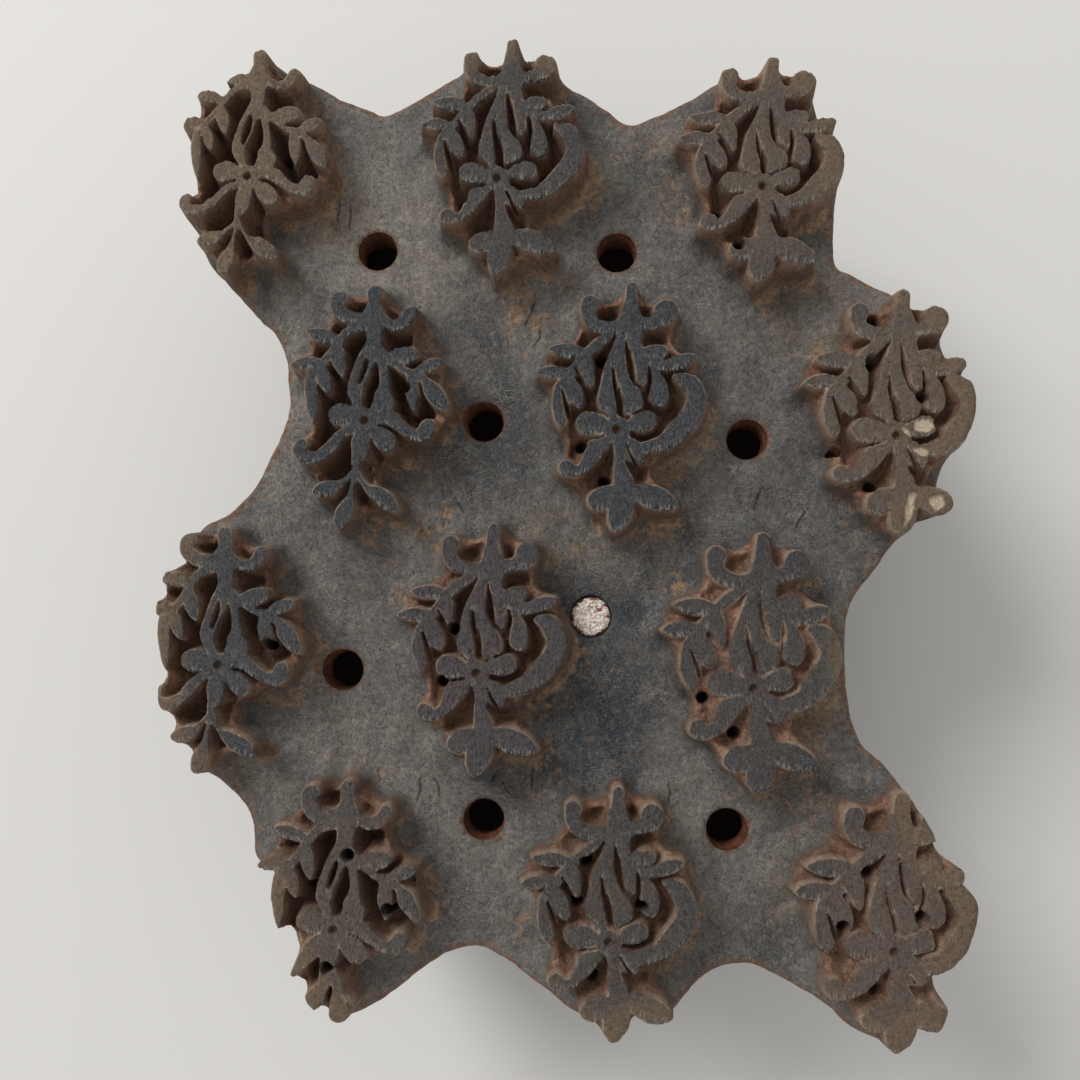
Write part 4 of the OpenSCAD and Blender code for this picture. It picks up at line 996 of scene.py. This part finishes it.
# Vent walls: from the mouth in the face down to the crown of the channel below, a little wider at
# the worn mouth, with the rings that a drill leaves
ventParts, ventFaces, count = [], [], 0
for k, (cx, cy) in enumerate(ventPlaces):
    nearby = np.hypot(flatX - cx, flatY - cy) < 1.5 * airways["ventRadius"]
    mouth = flatIndex[onVent.ravel() & usedPoints & nearby]
    mouth = mouth[np.argsort(np.arctan2(flatY[mouth] - cy, flatX[mouth] - cx))]
    aim = np.stack([flatX[mouth] - cx, flatY[mouth] - cy], 1)
    radius = np.linalg.norm(aim, axis=1)
    aim /= radius[:, None]
    start, way = next(axis for axis, pair in zip(channelAxes, channels) if k in pair)
    neck = airways["ventNeck"]
    off = (cy + aim[:, 1] * neck - start[1]) * way[0] - (cx + aim[:, 0] * neck - start[0]) * way[1]
    crown = airways["channelLevel"] + np.sqrt(airways["channelRadius"] ** 2 - off ** 2)
    t = np.linspace(0, 1, airways["rings"])[:, None]
    z = flatZ[mouth] * (1 - t) + crown * t
    down = flatZ[mouth] - z
    turned = np.arange(len(mouth)) / len(mouth) * 2 * np.pi
    mark = 0.05 * np.sin(z * 5.2 + turned)
    mark = mark + 0.10 * fractal(3 * np.cos(turned) + 9 * k, 3 * np.sin(turned) + z, 2.2, 64, 3)
    mouthDepth = airways["mouthDepth"] * (1 + 0.3 * (k >= airways["deeperFrom"]))
    narrow = (radius - neck) * ease(down, 0.2, mouthDepth)
    r = radius - narrow + mark * ease(down, 0, 1.5) * ease(t, 1.0, 0.8)
    grid = np.stack([cx + aim[:, 0] * r, cy + aim[:, 1] * r, z], -1)
    ventParts.append(grid.reshape(-1, 3))
    ventFaces.append(cellTriangles(z, np.zeros(z.shape, int), closed=True).reshape(-1, 3) + count)
    count += z.size
ventPiece = makeMesh("vent_walls", inFrame(np.vstack(ventParts)), np.vstack(ventFaces))

# Cross channels: a drilled tube along each axis, from side to side, whose lines end where they
# meet the rim, with the vents' footprints cut out of its crown
tubeParts, tubeFaces, count = [], [], 0
rimAhead = np.roll(rimTop, -1, axis=0)
for start, way in channelAxes:
    theta = -np.arange(airways["around"]) / airways["around"] * 2 * np.pi
    off = airways["channelRadius"] * np.cos(theta)
    aside = np.array([-way[1], way[0]])
    offA, offB = ((p - start) @ aside for p in (rimTop, rimAhead))
    alongA, alongB = ((p - start) @ way for p in (rimTop, rimAhead))
    crossing = (offA[None] - off[:, None]) * (offB[None] - off[:, None]) < 0
    share = (off[:, None] - offA[None]) / np.where(np.abs(offB - offA) < 1e-9, 1e-9, offB - offA)[None]
    meet = alongA[None] + share * (alongB - alongA)[None]
    low = np.where(crossing, meet, 1e9).min(1)
    high = np.where(crossing, meet, -1e9).max(1)
    rows = int((high.max() - low.min()) / airways["spacing"])
    t = np.linspace(0, 1, rows)[:, None]
    along = low * (1 - t) + high * t
    x = start[0] + along * way[0] + off * aside[0]
    y = start[1] + along * way[1] + off * aside[1]
    z = np.broadcast_to(airways["channelLevel"] + airways["channelRadius"] * np.sin(theta), x.shape)
    ventGap = np.full(x.shape, airways["apart"])
    for cx, cy in ventPlaces:
        ventGap = np.minimum(ventGap, np.hypot(x - cx, y - cy) - airways["ventNeck"])
    ventGap = np.where(np.sin(theta) > 0.2, ventGap, airways["apart"])  # the crown of the tube only
    onMouth, moveRow, moveColumn = ontoLine(ventGap)
    cutTheta = theta - moveColumn * 2 * np.pi / airways["around"]
    cutAlong = along + moveRow * (high - low) / (rows - 1)
    off = airways["channelRadius"] * np.cos(cutTheta)
    grid = np.stack([start[0] + cutAlong * way[0] + off * aside[0],
                     start[1] + cutAlong * way[1] + off * aside[1],
                     airways["channelLevel"] + airways["channelRadius"] * np.sin(cutTheta)], -1)
    tube = cellTriangles(z, onMouth.astype(int), closed=True)
    tubeParts.append(grid.reshape(-1, 3))
    tubeFaces.append(tube[keptSide(tube, -ventGap, onMouth)] + count)
    count += x.size
channelPiece = makeMesh("cross_channels", inFrame(np.vstack(tubeParts)), np.vstack(tubeFaces))

# The planed back: triangles inside the lowest ring of the side
loop = sideGrid[-1, :, :2]
count = len(loop)
loopEdges = [(k, (k + 1) % count) for k in range(count)]
corners, _, backFaces, *_ = delaunay_2d_cdt([Vector(p) for p in loop], loopEdges, [], 1, 1e-5)
corners = np.array([[v.x, v.y, backLevel] for v in corners])
backFaces = np.array([f for f in backFaces if len(f) == 3])
facesUp = areaVectors(corners, backFaces)[:, 2] > 0
backFaces[facesUp] = backFaces[facesUp][:, ::-1]
backPiece = makeMesh("planed_back", inFrame(corners), backFaces, smooth=False)
print("printing block: sides, vents, channels and back")

rivet = {
    "headRadius": 3.9,
    "headThick": 1.6,
    "shankRadius": 3.0,
    "edgeRound": 0.45,
    "dent": 0.22,  # how deep the hammer's dents are
    "tailDent": 0.3,
    "burr": 0.035,  # share of its radius that the ragged edge lacks
    "tarnishSide": 0.75,  # direction in radians from which it is tarnished
    "tarnishEdge": 0.9,
    "tarnishFrom": (2.9, 3.8),
    "around": 180,
    "tailPoints": 50,
    "headPoints": 90,
}

# The rivet turned about its axis: a flat head with a rounded edge, the shank, and a domed tail that
# is hammered over the washer. The hammer's dents go into the metal.
headTop = rivetHigh.z / mm
tailTop, tailLow = washerLow.z / mm, rivetLow.z / mm
tailRadius = (rivetHigh.x - rivetLow.x) / 2 / mm
bend = np.radians(np.arange(0, 91, 15))
dome = np.stack([tailRadius * np.sin(bend), tailTop - (tailTop - tailLow) * np.cos(bend)], 1)
edge = np.stack([rivet["headRadius"] - rivet["edgeRound"] * (1 - np.cos(bend)),
                 headTop - rivet["edgeRound"] * (1 - np.sin(bend))], 1)
headLow = headTop - rivet["headThick"]
shank = [[rivet["shankRadius"], tailTop], [rivet["shankRadius"], headLow],
         [rivet["headRadius"], headLow]]
profile = np.vstack([dome, shank, edge, [[0, headTop]]])
reach = np.concatenate([[0], np.cumsum(np.hypot(*np.diff(profile, axis=0).T))])
tailEnd, headStart = reach[len(dome)], reach[len(dome) + len(shank) - 1]
fine = np.unique(np.concatenate([reach, np.linspace(0, tailEnd, rivet["tailPoints"]),
                                 np.linspace(headStart, reach[-1], rivet["headPoints"])]))
r, z = (np.interp(fine, reach, profile[:, k])[:, None] for k in (0, 1))
theta = np.arange(rivet["around"]) / rivet["around"] * 2 * np.pi
dx, dy = r * np.cos(theta), r * np.sin(theta)
dents = ease(fractal(dx, dy, 1.5, 81, 4), -0.3, 0.5)
edgeX, edgeY = rivet["headRadius"] * np.cos(theta), rivet["headRadius"] * np.sin(theta)
burr = 1 - rivet["burr"] * (0.5 + 0.5 * fractal(edgeX, edgeY, 1.6, 82, 3))
isHead, isTail = z > headTop - 0.5, z < tailTop - 0.2
z = z - rivet["dent"] * dents * isHead + rivet["tailDent"] * dents * isTail
rivetCentre = [(rivetLow.x + rivetHigh.x) / 2 / mm, (rivetLow.y + rivetHigh.y) / 2 / mm]
rivetPoints = np.stack([rivetCentre[0] + dx * burr, rivetCentre[1] + dy * burr, z], -1)
rivetPoints = rivetPoints.reshape(-1, 3) * mm
level = np.broadcast_to(fine[:, None], z.shape)
rivetFaces = cellTriangles(level, np.zeros(z.shape, int), closed=True).reshape(-1, 3)
rivetFaces = rivetFaces[np.linalg.norm(areaVectors(rivetPoints, rivetFaces), axis=1) > 1e-14]
sideTarnish = np.maximum(np.cos(theta - rivet["tarnishSide"]), 0) * r / rivet["headRadius"]
edgeTarnish = rivet["tarnishEdge"] * ease(r, *rivet["tarnishFrom"])
tarnish = np.maximum(sideTarnish, edgeTarnish)
rivetPiece = makeMesh("hammered_rivet", rivetPoints, rivetFaces, values={"tarnish": tarnish.ravel()})


# An sRGB hex colour as linear red, green, blue and alpha
def linear(hexColour):
    parts = [int(hexColour[k:k + 2], 16) / 255 for k in (1, 3, 5)]
    return tuple(c / 12.92 if c <= 0.04045 else ((c + 0.055) / 1.055) ** 2.4 for c in parts) + (1.0,)


# Fills a node's inputs with numbers, hex colours or links
def fill(tree, node, inputs):
    for key, value in inputs.items():
        if isinstance(value, bpy.types.NodeSocket):
            tree.links.new(value, node.inputs[key])
        else:
            node.inputs[key].default_value = linear(value) if isinstance(value, str) else value


# Adds a node with its settings and inputs
def addNode(tree, kind, inputs=None, output=0, **settings):
    node = tree.nodes.new(kind)
    for key, value in settings.items():
        setattr(node, key, value)
    fill(tree, node, inputs or {})
    return node.outputs[output]


# A mask from noise: spots about size millimetres across, stretched along a direction, from 0
# where the noise is below low to 1 where it is above high
def addSpots(tree, size, low, high, stretch=(1, 1, 1), turn=0.0, detail=4.0, harsh=0.55):
    place = addNode(tree, "ShaderNodeTexCoord", output="Object")
    if stretch != (1, 1, 1):
        inputs = {"Vector": place, "Rotation": (0, 0, turn), "Scale": stretch}
        place = addNode(tree, "ShaderNodeMapping", inputs, vector_type="TEXTURE")
    inputs = {"Vector": place, "Scale": 1 / (size * mm), "Detail": detail, "Roughness": harsh}
    noise = addNode(tree, "ShaderNodeTexNoise", inputs)
    return addNode(tree, "ShaderNodeMapRange", {"Value": noise, "From Min": low, "From Max": high},
                   interpolation_type="SMOOTHSTEP")


# Colours laid one over another, each with its mask and its greatest strength
def laidOver(tree, colour, layers):
    for mask, strength, tint in layers:
        if strength != 1:
            mask = addNode(tree, "ShaderNodeMath", {0: mask, 1: strength}, operation="MULTIPLY")
        colour = addNode(tree, "ShaderNodeMix", {0: mask, 6: colour, 7: tint}, 2, data_type="RGBA")
    return colour


# Bumps laid one over another, each with its height, strength and depth in millimetres
def bumped(tree, layers):
    normal = None
    for height, strength, depth in layers:
        inputs = {"Height": height, "Strength": strength, "Distance": depth * mm}
        if normal is not None:
            inputs["Normal"] = normal
        normal = addNode(tree, "ShaderNodeBump", inputs)
    return normal


# An empty material, its node tree and its shader
def newMaterial(name):
    material = bpy.data.materials.new(name)
    material.use_nodes = True
    return material, material.node_tree, material.node_tree.nodes["Principled BSDF"]


# A plain material: one colour with spots laid over it in turn, each with its size, from and to,
# stretch, detail, strength, colour, and the strength and depth of its bump, if it has one
def spottedMaterial(name, colour, roughness, specular, spots):
    material, tree, shader = newMaterial(name)
    layers, bumps = [], []
    for size, low, high, stretch, detail, strength, tint, bump, depth in spots:
        mask = addSpots(tree, size, low, high, stretch=stretch, detail=detail)
        layers.append((mask, strength, tint))
        if bump:
            bumps.append((mask, bump, depth))
    fill(tree, shader, {"Base Color": laidOver(tree, colour, layers), "Roughness": roughness,
                        "Specular IOR Level": specular, "Normal": bumped(tree, bumps)})
    return material


oldWood = {
    "slate": "#2B2E33",  # printing faces, stained by dye and polished by cloth
    "slatePale": "#6F7276",
    "poreDark": "#161719",
    "floorDark": "#2A3038",  # carved floor, greyed
    "floorPale": "#918A80",
    "haze": "#A3A19D",
    "scratch": "#B3B0A6",
    "gash": "#232425",
    "speck": "#28282A",
    "ochre": "#8E7659",
    "umber": "#785A43",  # bare heartwood on walls and in pockets
    "footBrown": "#AC8C6D",  # and where it runs out on to the floor
    # dark spots in the bare wood, and the painted shade deep in the gaps
    "deepUmber": "#21160F",
    "russet": "#85553E",
    "tan": "#AE8C72",
    # pale edge of the tops: wear, and a painted highlight on the edges towards the lamp
    "wornEdgeAndHighlight": "#A18A76",
    "dust": "#80684C",
    "warm": "#57484A",
    "cream": "#D2BFA6",
    "crack": "#1C1512",
    # painted shade at the bottoms of the pits
    "hole": "#120D0A",
    "roughFloor": 0.75,
    "roughTop": 0.60,
    "holeFrom": (11.9, 13.4),  # depth in millimetres at which the carving, mostly the pits, turns near black as painted shade
    # Size in millimetres, where noise turns into a spot, length over width, detail and harshness
    "spots": {
        "fine": (0.33, 0.46, 0.60, 1, 2.0, 0.7),
        "coarse": (1.3, 0.46, 0.60, 1, 5.0, 0.75),
        "specks": (0.8, 0.58, 0.64, 1, 2.0, 0.6),
        "patches": (2.2, 0.45, 0.57, 1, 5.0, 0.7),
        "pores": (0.36, 0.53, 0.62, 3, 2.0, 0.55),
        "zones": (11, 0.44, 0.62, 1, 4.0, 0.55),
        "clouds": (5, 0.42, 0.62, 1, 3.0, 0.5),
        "crumbs": (1.5, 0.34, 0.66, 1, 4.0, 0.55),
        "cells": (0.42, 0.48, 0.60, 1.4, 2.0, 0.55),  # of the end grain
        "teeth": (0.32, 0.50, 0.60, 6, 0.0, 0.55),  # of the comb-like fringe
    },
    # Direction in radians, length over width, width in millimetres, and where noise turns into one
    "scratches": ((0.5, 90, 0.20, 0.66, 0.72), (1.2, 110, 0.18, 0.67, 0.73),
                  (-0.5, 70, 0.20, 0.67, 0.73), (-1.1, 120, 0.18, 0.67, 0.73),
                  (1.55, 100, 0.19, 0.67, 0.73)),
    "gashes": (0.2, 60, 0.25, 0.75, 0.79),
}

# Old dyed heartwood, such as teak: a thin slate-grey skin of dye and oil over brown wood. To the
# eye it is a dull, fine-scratched grey that turns brown wherever the skin is cut or rubbed away.
carvedMaterial, tree, shader = newMaterial("DyedHeartwoodHandCarved")
value = {key: addNode(tree, "ShaderNodeAttribute", output="Fac", attribute_name=key) for key in values}
fine, coarse, specks, patches, pores, zones, clouds, crumbs, cells, teeth = (
    addSpots(tree, size, low, high, stretch=(1, stretch, 1), detail=detail, harsh=harsh)
    for size, low, high, stretch, detail, harsh in oldWood["spots"].values())
*scratchLines, gashes = (
    addSpots(tree, size, low, high, stretch=(1, stretch, 1), turn=turn, detail=0.0)
    for turn, stretch, size, low, high in (*oldWood["scratches"], oldWood["gashes"]))
scratches = scratchLines[0]
for line in scratchLines[1:]:
    scratches = addNode(tree, "ShaderNodeMath", {0: scratches, 1: line}, operation="MAXIMUM")
scratches = addNode(tree, "ShaderNodeMath", {0: scratches, 1: zones}, operation="MULTIPLY")
colour = laidOver(tree, oldWood["floorDark"], [
    (value["tone"], 1, oldWood["floorPale"]),
    (value["ochre"], 0.7, oldWood["ochre"]),
    (clouds, 0.22, oldWood["floorDark"]),
    (fine, 0.22, oldWood["haze"]),
    (coarse, 0.18, oldWood["speck"]),
    (specks, 0.35, oldWood["speck"]),
    (scratches, 0.32, oldWood["scratch"]),
    (gashes, 0.4, oldWood["gash"]),
    (value["cracked"], 0.9, oldWood["crack"]),
])
brown = laidOver(tree, oldWood["umber"], [
    (patches, 0.45, oldWood["russet"]),
    # Painted shade: the deep floors of the gaps darkened to deep umber
    (value["gapDepthShade"], 0.6, oldWood["deepUmber"]),
    (value["foot"], 0.9, oldWood["footBrown"]),
    (value["freshWood"], 0.85, oldWood["russet"]),
    (coarse, 0.30, oldWood["deepUmber"]),
    (fine, 0.25, oldWood["tan"]),
    (specks, 0.4, oldWood["deepUmber"]),
])
freshMask = addNode(tree, "ShaderNodeMath", {0: value["freshWood"], 1: patches}, operation="MULTIPLY")
brown = laidOver(tree, brown, [(freshMask, 0.8, oldWood["tan"])])
# Masks from other values, each from 0 at the first number to 1 at the second
ragged = addNode(tree, "ShaderNodeMath", {0: crumbs, 1: 0.6, 2: value["bareWoodAndShadow"]},
                 operation="MULTIPLY_ADD")
onTop, rimLow, rimHigh, bareAndShadowMask = (
    addNode(tree, "ShaderNodeMapRange", {"Value": source, "From Min": low, "From Max": high},
            interpolation_type="SMOOTHSTEP")
    for source, low, high in ((value["fromStroke"], 0.12, -0.06), (value["fromStroke"], -0.35, -0.02),
                              (value["fromStroke"], 0.42, 0.12), (ragged, 0.35, 1.2)))
teeth = addNode(tree, "ShaderNodeMath", {0: teeth, 1: value["comb"]}, operation="MULTIPLY")
tops = laidOver(tree, oldWood["slate"], [
    (value["pale"], 0.5, oldWood["slatePale"]),
    (fine, 0.30, oldWood["slatePale"]),
    (cells, 0.24, oldWood["slatePale"]),
    (value["warm"], 0.7, oldWood["warm"]),
    (pores, 0.65, oldWood["poreDark"]),
    (value["dust"], 0.68, oldWood["dust"]),
    (specks, 0.35, oldWood["poreDark"]),
    (teeth, 0.75, oldWood["scratch"]),
])
# A pale rim along the tops' edges: worn, and painted as a highlight on the side towards the lamp
wornAndLitEdgeMask = addNode(tree, "ShaderNodeMath", {0: rimLow, 1: rimHigh}, operation="MULTIPLY")
wornAndLitEdgeMask = addNode(tree, "ShaderNodeMath", {0: wornAndLitEdgeMask, 1: value["tanEdgeAndHighlight"]}, operation="MULTIPLY")
# Painted shade: near black where the carving goes deepest, at the bottoms of the pits
holeLow, holeHigh = oldWood["holeFrom"]
holeMask = addNode(tree, "ShaderNodeMapRange", {"Value": value["depth"], "From Min": holeLow,
                                                "From Max": holeHigh})
colour = laidOver(tree, colour, [
    # Bare brown wood, and the painted shadow band to the right of the strokes and below them
    (bareAndShadowMask, 0.92, brown),
    (onTop, 1, tops),
    # worn tan edges, with the painted highlight towards the lamp
    (wornAndLitEdgeMask, 0.95, oldWood["wornEdgeAndHighlight"]),
    (value["eye"], 0.8, oldWood["umber"]),
    (value["chipped"], 0.95, oldWood["cream"]),
    # painted shade at the bottoms of the pits
    (holeMask, 1, oldWood["hole"]),
])
roughness = addNode(tree, "ShaderNodeMapRange", {"Value": onTop, "To Min": oldWood["roughFloor"],
                                                 "To Max": oldWood["roughTop"]})
normal = bumped(tree, [(coarse, 0.6, 0.30), (fine, 0.7, 0.16), (specks, 0.6, -0.2),
                       (scratches, 0.5, 0.1), (gashes, 0.6, -0.12), (cells, 0.5, 0.12)])
fill(tree, shader, {"Base Color": colour, "Roughness": roughness, "Specular IOR Level": 0.45,
                    "Normal": normal})

# The same heartwood as sawn and drilled: brown, hairy across the grain, darkened by hands and dye
plain = (1, 1, 1)
sawnMaterial = spottedMaterial("HeartwoodSawnAndDrilled", "#3A2A20", 0.78, 0.35, [
    (5, 0.40, 0.62, plain, 5.0, 0.5, "#54402F", 0, 0),
    (0.8, 0.40, 0.62, (1, 12, 1), 4.0, 0.5, "#2A2B2C", 0.5, 0.3),  # streaks
    (0.25, 0.48, 0.66, (1, 1, 12), 3.0, 0.4, "#1D1613", 0.5, 0.15),  # hairs
])
# Inside the holes the heartwood is unstained, so it is redder than the skin
drilledMaterial = spottedMaterial("HeartwoodDrilled", "#6E452F", 0.8, 0.3, [
    (1.6, 0.40, 0.62, plain, 5.0, 0.6, "#3A241A", 0.6, 0.3),
])
# Shaved heartwood, polished dark by the palm: long rings of the grain under a low shine
handleMaterial = spottedMaterial("HeartwoodShavedAndHandled", "#3C2619", 0.46, 0.5, [
    (2.6, 0.38, 0.62, (1, 16, 1), 5.0, 0.8, "#66432B", 0.2, 0.2),
    (0.35, 0.54, 0.66, (1, 18, 1), 2.0, 0.7, "#1E130D", 0.5, -0.15),  # pores
    (9, 0.42, 0.62, plain, 5.0, 0.5, "#2A221D", 0, 0),  # grime
])

metals = {
    "iron": "#39312D",
    "scale": "#6B4229",
    "steel": "#F4E9DE",
    "pit": "#977A66",
    "rust": "#7A4630",
}

# Forged iron, rusted brown: rough and matt, with a few darker scales that still shine a little
ironMaterial, tree, shader = newMaterial("ForgedIronRusted")
scale = addSpots(tree, 1.2, 0.42, 0.60, detail=5.0, harsh=0.65)
fill(tree, shader, {
    "Base Color": laidOver(tree, metals["iron"], [(scale, 1, metals["scale"])]),
    "Metallic": addNode(tree, "ShaderNodeMapRange", {"Value": scale, "To Min": 0.7, "To Max": 0.05}),
    "Roughness": 0.68,
    "Normal": bumped(tree, [(scale, 0.6, 0.3)]),
})

# Mild steel, hammered flat and rubbed bright by cloth: pale, pitted, with rust in the pits and on
# the side away from the hand
steelMaterial, tree, shader = newMaterial("MildSteelHammered")
pitting = addSpots(tree, 0.5, 0.47, 0.60, detail=4.0, harsh=0.7)
rustSpots = addSpots(tree, 1.3, 0.44, 0.58, detail=5.0, harsh=0.65)
tarnish = addNode(tree, "ShaderNodeAttribute", output="Fac", attribute_name="tarnish")
rust = addNode(tree, "ShaderNodeMath", {0: rustSpots, 1: tarnish}, operation="MULTIPLY")
rust = addNode(tree, "ShaderNodeMapRange", {"Value": rust, "From Min": 0.15, "From Max": 0.5})
fill(tree, shader, {
    "Base Color": laidOver(tree, metals["steel"], [(pitting, 0.5, metals["pit"]),
                                                   (rust, 1, metals["rust"])]),
    "Metallic": addNode(tree, "ShaderNodeMapRange", {"Value": rust, "To Min": 0.4, "To Max": 0.05}),
    "Roughness": 0.5,
    "Normal": bumped(tree, [(pitting, 0.7, 0.15)]),
})

for piece in facePieces:
    piece.data.materials.append(carvedMaterial)
bodyPieces = sidePieces + [ventPiece, channelPiece, backPiece]
for piece in bodyPieces:
    piece.data.materials.append(drilledMaterial if piece is ventPiece else sawnMaterial)
for piece in facePieces + bodyPieces:
    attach(piece, "root")
    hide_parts("carved_block")
rivetPiece.data.materials.append(steelMaterial)
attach(rivetPiece, "root")
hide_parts("rivet")
for node, material in (("handle", handleMaterial), ("rivet_washer", ironMaterial),
                       ("handle_nails", ironMaterial)):
    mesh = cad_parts[node].data
    mesh.materials.clear()
    mesh.materials.append(material)
print("printing block: materials")

studio = {
    "floorSize": 3.0,
    "floorColour": "#DEDCD8",
    "skyLevel": 0.55,
    "lampPlace": (-0.88, 0.80, 1.20),
    "lampSize": 0.8,
    "lampPower": 17.9,
    "lampAim": (0, 0, 0.05),
    "skyColour": (1.0, 0.995, 0.985, 1.0),
    "cameraPlace": (20.82, -14.08, 200.37),  # from the middle of the pattern, in millimetres
    "cameraTurn": (-0.07985, -0.05162, -0.03385),  # axis of its turn, as long as the turn in radians
    "fieldOfView": 53.13,
    "floorDrop": 0.0002,
}

half = studio["floorSize"] / 2
floorPoints = np.array([[x * half, y * half, -studio["floorDrop"]] for x, y in
                        ((-1, -1), (1, -1), (1, 1), (-1, 1))])
floorPiece = makeMesh("studio_floor", floorPoints, np.array([[0, 1, 2, 3]]), smooth=False)
paperMaterial, tree, shader = newMaterial("PalePaper")
fill(tree, shader, {"Base Color": studio["floorColour"], "Roughness": 0.9, "Specular IOR Level": 0.1})
floorPiece.data.materials.append(paperMaterial)

world = bpy.data.worlds.new("studio")
bpy.context.scene.world = world
world.use_nodes = True
fill(world.node_tree, world.node_tree.nodes["Background"],
     {"Color": studio["skyColour"], "Strength": studio["skyLevel"]})

lampData = bpy.data.lights.new("window_light", "AREA")
lampData.shape = "DISK"
lampData.size = studio["lampSize"]
lampData.energy = studio["lampPower"]
lamp = addObject("window_light", lampData)
lamp.location = studio["lampPlace"]
lamp.rotation_euler = (Vector(studio["lampAim"]) - lamp.location).to_track_quat("-Z", "Y").to_euler()

turn = Vector(studio["cameraTurn"])
toCamera = Matrix.Diagonal((1, -1, -1)) @ Matrix.Rotation(turn.length, 3, turn.normalized())
axes = Matrix((toCamera[0], -toCamera[1], -toCamera[2])).transposed()
cameraData = bpy.data.cameras.new("camera")
cameraData.sensor_fit = "HORIZONTAL"
cameraData.angle = math.radians(studio["fieldOfView"])
cameraData.clip_start = 0.01
cameraData.clip_end = 20
camera = addObject("camera", cameraData)
camera.matrix_world = Matrix.Translation(
    Vector(inFrame(np.array([studio["cameraPlace"]]))[0])) @ axes.to_4x4()
bpy.context.scene.camera = camera
bpy.context.scene.view_settings.view_transform = "Standard"
print("printing block: floor, light and camera")
